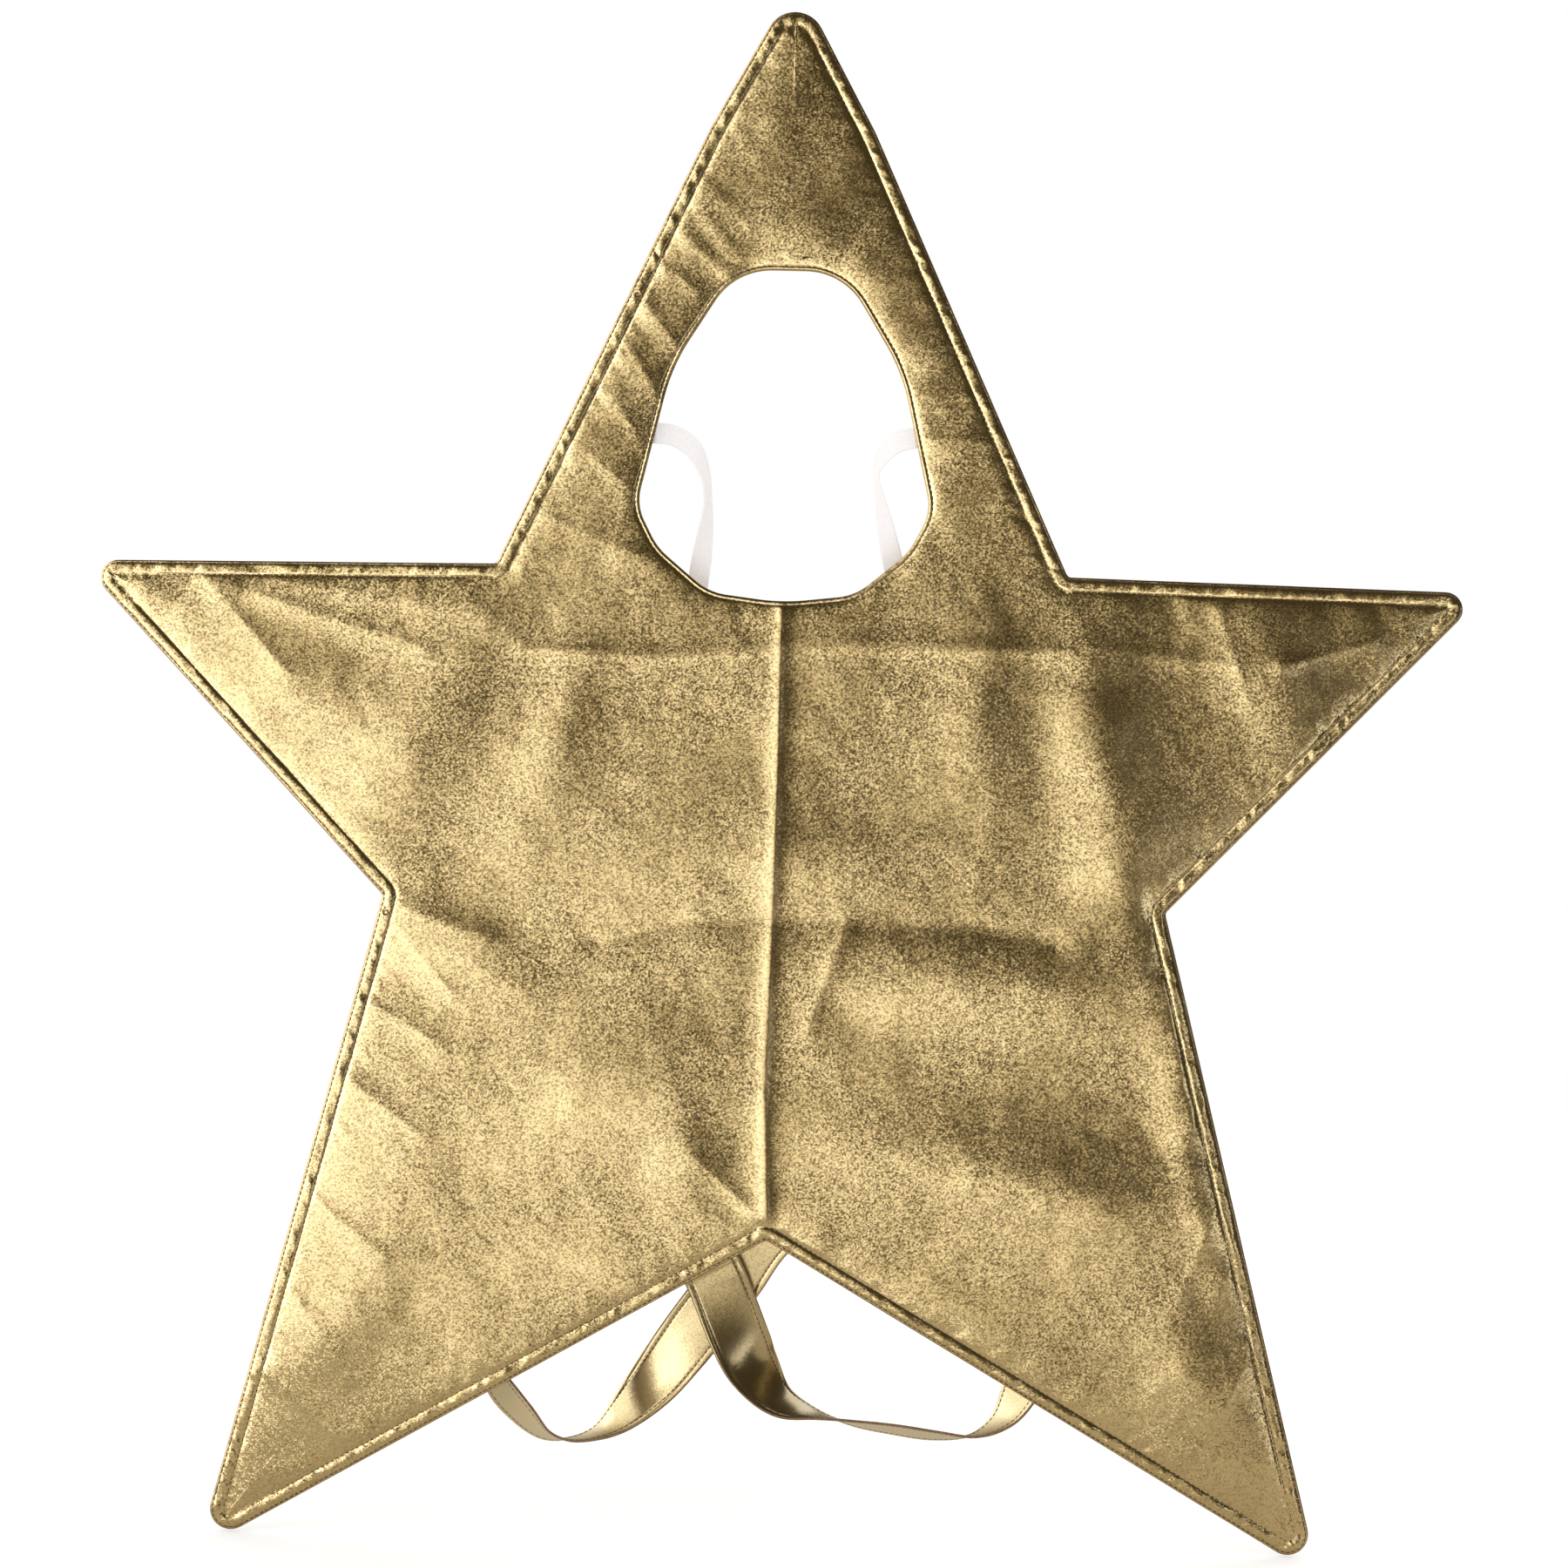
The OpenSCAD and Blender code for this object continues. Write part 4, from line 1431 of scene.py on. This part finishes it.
def new_group(name: str, inputs: list, outputs: list) -> tuple[Nodes, dict, bpy.types.Node]:
    """An empty node group with named inputs and outputs.

    Args:
        name: the group's name.
        inputs: pairs of socket type and name.
        outputs: the same for the outputs.

    Returns:
        The group's nodes, its inputs by name, and its output node.
    """
    tree = bpy.data.node_groups.new(name, "ShaderNodeTree")
    for way, sockets in (("INPUT", inputs), ("OUTPUT", outputs)):
        for kind, label in sockets:
            tree.interface.new_socket(label, in_out=way, socket_type="NodeSocket" + kind)
    nodes = Nodes(tree)
    source = tree.nodes.new("NodeGroupInput")
    return nodes, {s.name: s for s in source.outputs}, tree.nodes.new("NodeGroupOutput")


def foil_group() -> bpy.types.NodeTree:
    """Foil laid on twill: small flecks that each tilt their own way, over diagonal threads.

    Every cell of a cell pattern tilts the normal by its own random direction, more in some
    patches than in others. The height is a sine across the diagonal threads and one along them.
    """
    if "foil_flecks" in bpy.data.node_groups:
        return bpy.data.node_groups["foil_flecks"]
    n, given, out = new_group(
        "foil_flecks",
        [("Vector", "Vector"), ("Vector", "Normal"), ("Float", "Cells"), ("Float", "Tilt"),
         ("Float", "Threads")],
        [("Float", "Fleck"), ("Float", "Patch"), ("Float", "Height"), ("Vector", "Normal")])
    cell = n.add("TexVoronoi", {"Vector": given["Vector"], "Scale": given["Cells"]},
                 voronoi_dimensions="2D")
    patch = n.add("TexNoise", {"Vector": given["Vector"], "Scale": 17.0, "Detail": 3.0,
                               "Roughness": 0.6}, noise_dimensions="2D")
    grade = n.ramp(patch.outputs[0], 0.3, 0.7, 0.55, 1.25)
    stretched = n.vector("MULTIPLY", {0: given["Vector"], 1: (1.0, 0.09, 1.0)})
    slub = n.add("TexNoise", {"Vector": stretched, "Scale": 260.0, "Detail": 1.0},
                 noise_dimensions="2D")
    away = n.vector("SUBTRACT", {0: cell.outputs["Color"], 1: (0.5, 0.5, 0.5)})
    amount = n.math("MULTIPLY", n.math("MULTIPLY", given["Tilt"], grade), 2.0)
    tilt = n.add("VectorMath", {0: away, "Scale": amount}, operation="SCALE").outputs[0]
    normal = n.vector("NORMALIZE", {0: n.vector("ADD", {0: given["Normal"], 1: tilt})})
    split = n.add("SeparateXYZ", {0: given["Vector"]})
    turn = n.math("MULTIPLY", given["Threads"], 2 * math.pi)
    diagonal = n.math("SINE", n.math("MULTIPLY", turn, n.math(
        "ADD", split.outputs[0], split.outputs[1])))
    weft = n.math("SINE", n.math("MULTIPLY", turn, n.math("MULTIPLY", split.outputs[1], 0.8)))
    height = n.math("MULTIPLY_ADD", diagonal, 0.15, n.math("MULTIPLY_ADD", weft, 0.25, 0.5))
    height = n.math("MULTIPLY_ADD", n.ramp(slub.outputs[0], 0.3, 0.7), 0.35, height)
    fleck = n.add("SeparateColor", {0: cell.outputs["Color"]}).outputs[0]
    for name, socket in (("Fleck", fleck), ("Patch", n.ramp(patch.outputs[0], 0.3, 0.7)),
                         ("Height", height), ("Normal", normal)):
        n.tree.links.new(socket, out.inputs[name])
    return n.tree


def weave_group() -> bpy.types.NodeTree:
    """Plain weave: threads over and under, as the product of two sines, with uneven yarn."""
    if "plain_weave" in bpy.data.node_groups:
        return bpy.data.node_groups["plain_weave"]
    n, given, out = new_group("plain_weave", [("Vector", "Vector"), ("Float", "Threads")],
                              [("Float", "Height"), ("Float", "Yarn"), ("Float", "Cloud")])
    split = n.add("SeparateXYZ", {0: given["Vector"]})
    turn = n.math("MULTIPLY", given["Threads"], math.pi)
    a = n.math("SINE", n.math("MULTIPLY", split.outputs[0], turn))
    b = n.math("SINE", n.math("MULTIPLY", split.outputs[1], turn))
    yarn = n.add("TexNoise", {"Vector": given["Vector"], "Scale": 900.0, "Detail": 2.0},
                 noise_dimensions="2D")
    cloud = n.add("TexNoise", {"Vector": given["Vector"], "Scale": 22.0, "Detail": 3.0},
                  noise_dimensions="2D")
    height = n.math("MULTIPLY_ADD", n.math("MULTIPLY", a, b), 0.35, 0.5)
    height = n.math("MULTIPLY_ADD", yarn.outputs[0], 0.3, height)
    for name, socket in (("Height", height), ("Yarn", yarn.outputs[0]),
                         ("Cloud", cloud.outputs[0])):
        n.tree.links.new(socket, out.inputs[name])
    return n.tree


Colour = tuple[float, float, float, float]


class Finish:
    """A finish that can dress a piece. Its material is made once."""

    name: str

    def material(self) -> bpy.types.Material:
        """The finish's material."""
        found = bpy.data.materials.get(self.name)
        if found:
            return found
        mat = bpy.data.materials.new(self.name)
        mat.use_nodes = True
        mat.node_tree.nodes.clear()
        nodes = Nodes(mat.node_tree)
        shader = self.shade(nodes)
        nodes.add("OutputMaterial", {"Surface": shader.outputs[0]})
        return mat

    def dress(self, obj: bpy.types.Object) -> None:
        """Gives all of a piece this finish."""
        obj.data.materials.clear()
        obj.data.materials.append(self.material())

    def shade(self, n: Nodes) -> bpy.types.Node:
        """Adds the finish's nodes and returns its shader."""
        raise NotImplementedError


@dataclass(frozen=True)
class FoilCloth(Finish):
    """Metallic foil on woven cloth, rubbed along its edges."""

    name: str
    light: Colour
    dark: Colour
    rubbed: Colour
    roughness: float
    tilt: float
    cells: float
    threads: float
    relief: float

    def shade(self, n: Nodes) -> bpy.types.Node:
        """Flecks mix light foil with dark as painted glint speckle, patches vary the gloss, and wear
        shows the ground.
        """
        uv = n.add("UVMap", uv_map="cloth").outputs[0]
        normal = n.add("NewGeometry").outputs["Normal"]
        foil = n.add("Group", {"Vector": uv, "Normal": normal, "Cells": self.cells,
                               "Tilt": self.tilt, "Threads": self.threads},
                     node_tree=foil_group())
        wear = n.add("Attribute", attribute_name="wear").outputs["Fac"]
        # painted glint speckle: cells of the fleck pattern take up to half the dark colour, copying
        # the sparkle of the tilted flecks
        painted_glint_speckle = n.ramp(foil.outputs["Fleck"], 0.55, 1.0, 0.0, 0.5)
        tone = n.mix(painted_glint_speckle, self.light, self.dark)
        tone = n.mix(n.math("MULTIPLY", foil.outputs["Patch"], 0.16), tone, self.dark)
        tone = n.mix(wear, tone, self.rubbed)
        rough = n.math("MULTIPLY_ADD", foil.outputs["Patch"], 0.06, self.roughness)
        rough = n.math("MULTIPLY_ADD", wear, 0.15, rough)
        bump = n.add("Bump", {"Strength": 1.0, "Distance": self.relief,
                              "Height": foil.outputs["Height"],
                              "Normal": foil.outputs["Normal"]})
        return n.add("BsdfPrincipled", {
            "Base Color": tone, "Metallic": 1.0, "Roughness": rough,
            "Normal": bump.outputs[0]})


@dataclass(frozen=True)
class PlainCloth(Finish):
    """Matt woven cloth, elastic or thread."""

    name: str
    light: Colour
    dark: Colour
    roughness: float
    threads: float
    relief: float
    sheen: float = 0.2

    def shade(self, n: Nodes) -> bpy.types.Node:
        """The yarn varies the colour and the roughness, and the weave stands in relief."""
        uv = n.add("UVMap", uv_map="cloth").outputs[0]
        weave = n.add("Group", {"Vector": uv, "Threads": self.threads}, node_tree=weave_group())
        tone = n.mix(n.ramp(weave.outputs["Yarn"], 0.3, 0.75), self.light, self.dark)
        tone = n.mix(n.ramp(weave.outputs["Cloud"], 0.35, 0.75, 0.0, 0.25), tone, self.dark)
        rough = n.math("MULTIPLY_ADD", weave.outputs["Yarn"], 0.15, self.roughness)
        bump = n.add("Bump", {"Strength": 1.0, "Distance": self.relief,
                              "Height": weave.outputs["Height"]})
        return n.add("BsdfPrincipled", {
            "Base Color": tone, "Roughness": rough, "Sheen Weight": self.sheen,
            "Normal": bump.outputs[0]})


GOLD = FoilCloth("gold_lame", (0.88, 0.71, 0.40, 1), (0.36, 0.25, 0.11, 1),
                 (0.42, 0.28, 0.12, 1), 0.17, 0.09, 1250.0, 1000.0, 0.00002)
STRAP_GOLD = FoilCloth("gold_strap", (0.74, 0.61, 0.36, 1), (0.40, 0.29, 0.13, 1),
                       (0.30, 0.18, 0.07, 1), 0.20, 0.035, 1900.0, 1500.0, 0.00001)
STRAP_EDGE = PlainCloth("strap_edge", (0.26, 0.15, 0.07, 1), (0.15, 0.08, 0.03, 1),
                        0.55, 1500.0, 0.00005)
STRAP_INSIDE = PlainCloth("strap_inside", (0.60, 0.47, 0.24, 1), (0.50, 0.38, 0.18, 1),
                          0.62, 1600.0, 0.00005)
LINING = PlainCloth("lining_cloth", (0.36, 0.27, 0.13, 1), (0.27, 0.20, 0.09, 1),
                    0.7, 1200.0, 0.00008)
WADDING = PlainCloth("wadding_fibre", (0.85, 0.85, 0.82, 1), (0.7, 0.7, 0.67, 1),
                     0.9, 300.0, 0.0006)
THREAD = PlainCloth("brown_thread", (0.085, 0.040, 0.015, 1), (0.04, 0.018, 0.007, 1),
                    0.55, 2200.0, 0.00006)
ELASTIC = PlainCloth("white_elastic", (0.98, 0.95, 0.94, 1), (0.93, 0.90, 0.89, 1),
                     0.75, 1500.0, 0.00008, 0.3)
LABEL = PlainCloth("label_satin", (0.88, 0.88, 0.86, 1), (0.78, 0.78, 0.76, 1),
                   0.4, 2400.0, 0.00003)


# ---------------------------------------------------------------------------- studio
@dataclass
class Studio:
    """White surroundings, soft lights, a pale floor and the camera."""

    middle: tuple = (0.004, 0.0, -0.200)
    distance: float = 2.125
    lens: float = 85.0
    roll: float = -1.4
    bright_way: tuple = (-0.72, 0.0, -0.42)
    room: tuple = (
        (0.25, (0.055, 0.045, 0.025)), (0.405, (0.16, 0.135, 0.085)), (0.50, (0.47, 0.415, 0.30)),
        (0.57, (0.76, 0.70, 0.56)), (0.67, (1.28, 1.22, 1.10)), (0.82, (1.60, 1.57, 1.50)),
    )

    def build_world(self) -> None:
        """White to the eye and to matt things. Shiny things mirror a dim room, darker above."""
        world = bpy.data.worlds.new("studio")
        world.use_nodes = True
        bpy.context.scene.world = world
        world.node_tree.nodes.clear()
        n = Nodes(world.node_tree)
        way = n.add("TexCoord").outputs["Generated"]
        slant = n.add("VectorMath", {0: way, 1: self.bright_way}, operation="DOT_PRODUCT")
        tone = n.ramp_colours(n.math("ADD", slant.outputs["Value"], 0.5), self.room)
        room = n.add("Background", {"Color": tone, "Strength": 1.0})
        fill = n.add("Background", {"Color": (1, 1, 1, 1), "Strength": 0.95})
        seen = n.add("Background", {"Color": (1, 1, 1, 1), "Strength": 1.0})
        path = n.add("LightPath")
        lit = n.add("MixShader", {0: path.outputs["Is Diffuse Ray"], 1: room.outputs[0],
                                  2: fill.outputs[0]})
        mix = n.add("MixShader", {0: path.outputs["Is Camera Ray"], 1: lit.outputs[0],
                                  2: seen.outputs[0]})
        n.add("OutputWorld", {"Surface": mix.outputs[0]})

    def light(self, name: str, place: tuple, size: tuple, radiance: float) -> None:
        """Adds a white soft box that faces the middle of the star.

        Args:
            name: the light's name.
            place: its middle, in metres.
            size: its width and height.
            radiance: how bright its face is.
        """
        data = bpy.data.lights.new(name, "AREA")
        data.shape = "RECTANGLE"
        data.size, data.size_y = size
        data.energy = radiance * math.pi * size[0] * size[1]
        obj = bpy.data.objects.new(name, data)
        obj.location = place
        target = np.array(self.middle) - np.array(place)
        obj.rotation_euler = (
            math.acos(-target[2] / np.linalg.norm(target)), 0,
            math.atan2(target[1], target[0]) - math.pi / 2)
        obj.visible_camera = False
        bpy.context.scene.collection.objects.link(obj)

    def build_lights(self) -> None:
        """Adds the soft boxes: a large one at the left, and smaller ones around."""
        self.light("left_box", (-1.9, -1.5, 0.1), (1.4, 1.6), 1.0)
        self.light("right_strip", (1.25, -1.7, -0.5), (0.3, 1.3), 1.2)
        self.light("back_box", (0.9, 2.0, 0.3), (1.4, 1.2), 0.9)
        self.light("back_left", (-1.3, 1.7, -0.1), (0.8, 1.2), 0.6)

    def build_floor(self, height: float) -> None:
        """Adds a pale floor that is as white to the eye as the surroundings."""
        x, near, far = 2.5, -0.45, 3.0
        verts = np.array([[-x, near, height], [x, near, height], [x, far, height],
                          [-x, far, height]]) / MM
        floor = to_mesh("studio_floor", verts, [[0, 1, 2, 3]])
        mat = bpy.data.materials.new("floor_white")
        mat.use_nodes = True
        mat.node_tree.nodes.clear()
        n = Nodes(mat.node_tree)
        path = n.add("LightPath")
        tone = n.mix(path.outputs["Is Glossy Ray"], (0.85, 0.85, 0.85, 1), (0.5, 0.45, 0.35, 1))
        glow = n.math("MULTIPLY", path.outputs["Is Camera Ray"], 0.3)
        shader = n.add("BsdfPrincipled", {
            "Base Color": tone, "Roughness": 0.9,
            "Emission Color": (1, 1, 1, 1), "Emission Strength": glow})
        n.add("OutputMaterial", {"Surface": shader.outputs[0]})
        floor.data.materials.append(mat)

    def build_camera(self) -> None:
        """Adds the camera straight in front, rolled a little as the star hangs."""
        data = bpy.data.cameras.new("front")
        data.lens = self.lens
        data.sensor_width = 36
        obj = bpy.data.objects.new("front", data)
        obj.location = (self.middle[0], -self.distance, self.middle[2])
        obj.rotation_euler = (math.pi / 2, math.radians(self.roll), 0)
        bpy.context.scene.collection.objects.link(obj)
        bpy.context.scene.camera = obj

    def build(self) -> None:
        """Sets up everything around the star."""
        bpy.context.scene.view_settings.view_transform = "Standard"
        self.build_world()
        self.build_lights()
        self.build_floor(CAD_BOX[0][2] - 0.001)
        self.build_camera()
        LOG.info("studio ready")


def replace_layers(layers: dict[str, dict[str, bpy.types.Object]]) -> None:
    """Hides the CAD node that each piece of each layer stands for."""
    for prefix, made in layers.items():
        for region, obj in made.items():
            node = "face_stitch" if region == "face" else f"{prefix}_{region}"
            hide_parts(node)


def main() -> None:
    """Builds the studio and every piece of the costume, in order."""
    logging.basicConfig(level=logging.INFO, format="%(message)s")
    Studio().build()
    replace_layers({
        "padding": Wadding(WADDING).build(),
        "front": StarLayer("gold", Side.FRONT, FRONT_WEAVE, GOLD, "metallic_cloth").build(),
        "lining": StarLayer("backing", Side.BACK, LINING_WEAVE, LINING, "lining", 0.15).build(),
        "topstitch": Topstitch(THREAD).build(),
    })
    FaceFacing(GOLD).build()
    Elastics(ELASTIC).build()
    Straps(STRAP_GOLD, STRAP_INSIDE, STRAP_EDGE, THREAD).build()
    marks = SewnMarks(THREAD, LABEL)
    marks.build_tacks()
    marks.build_label()
    marks.build_knot()


if __name__ == "__main__":
    main()
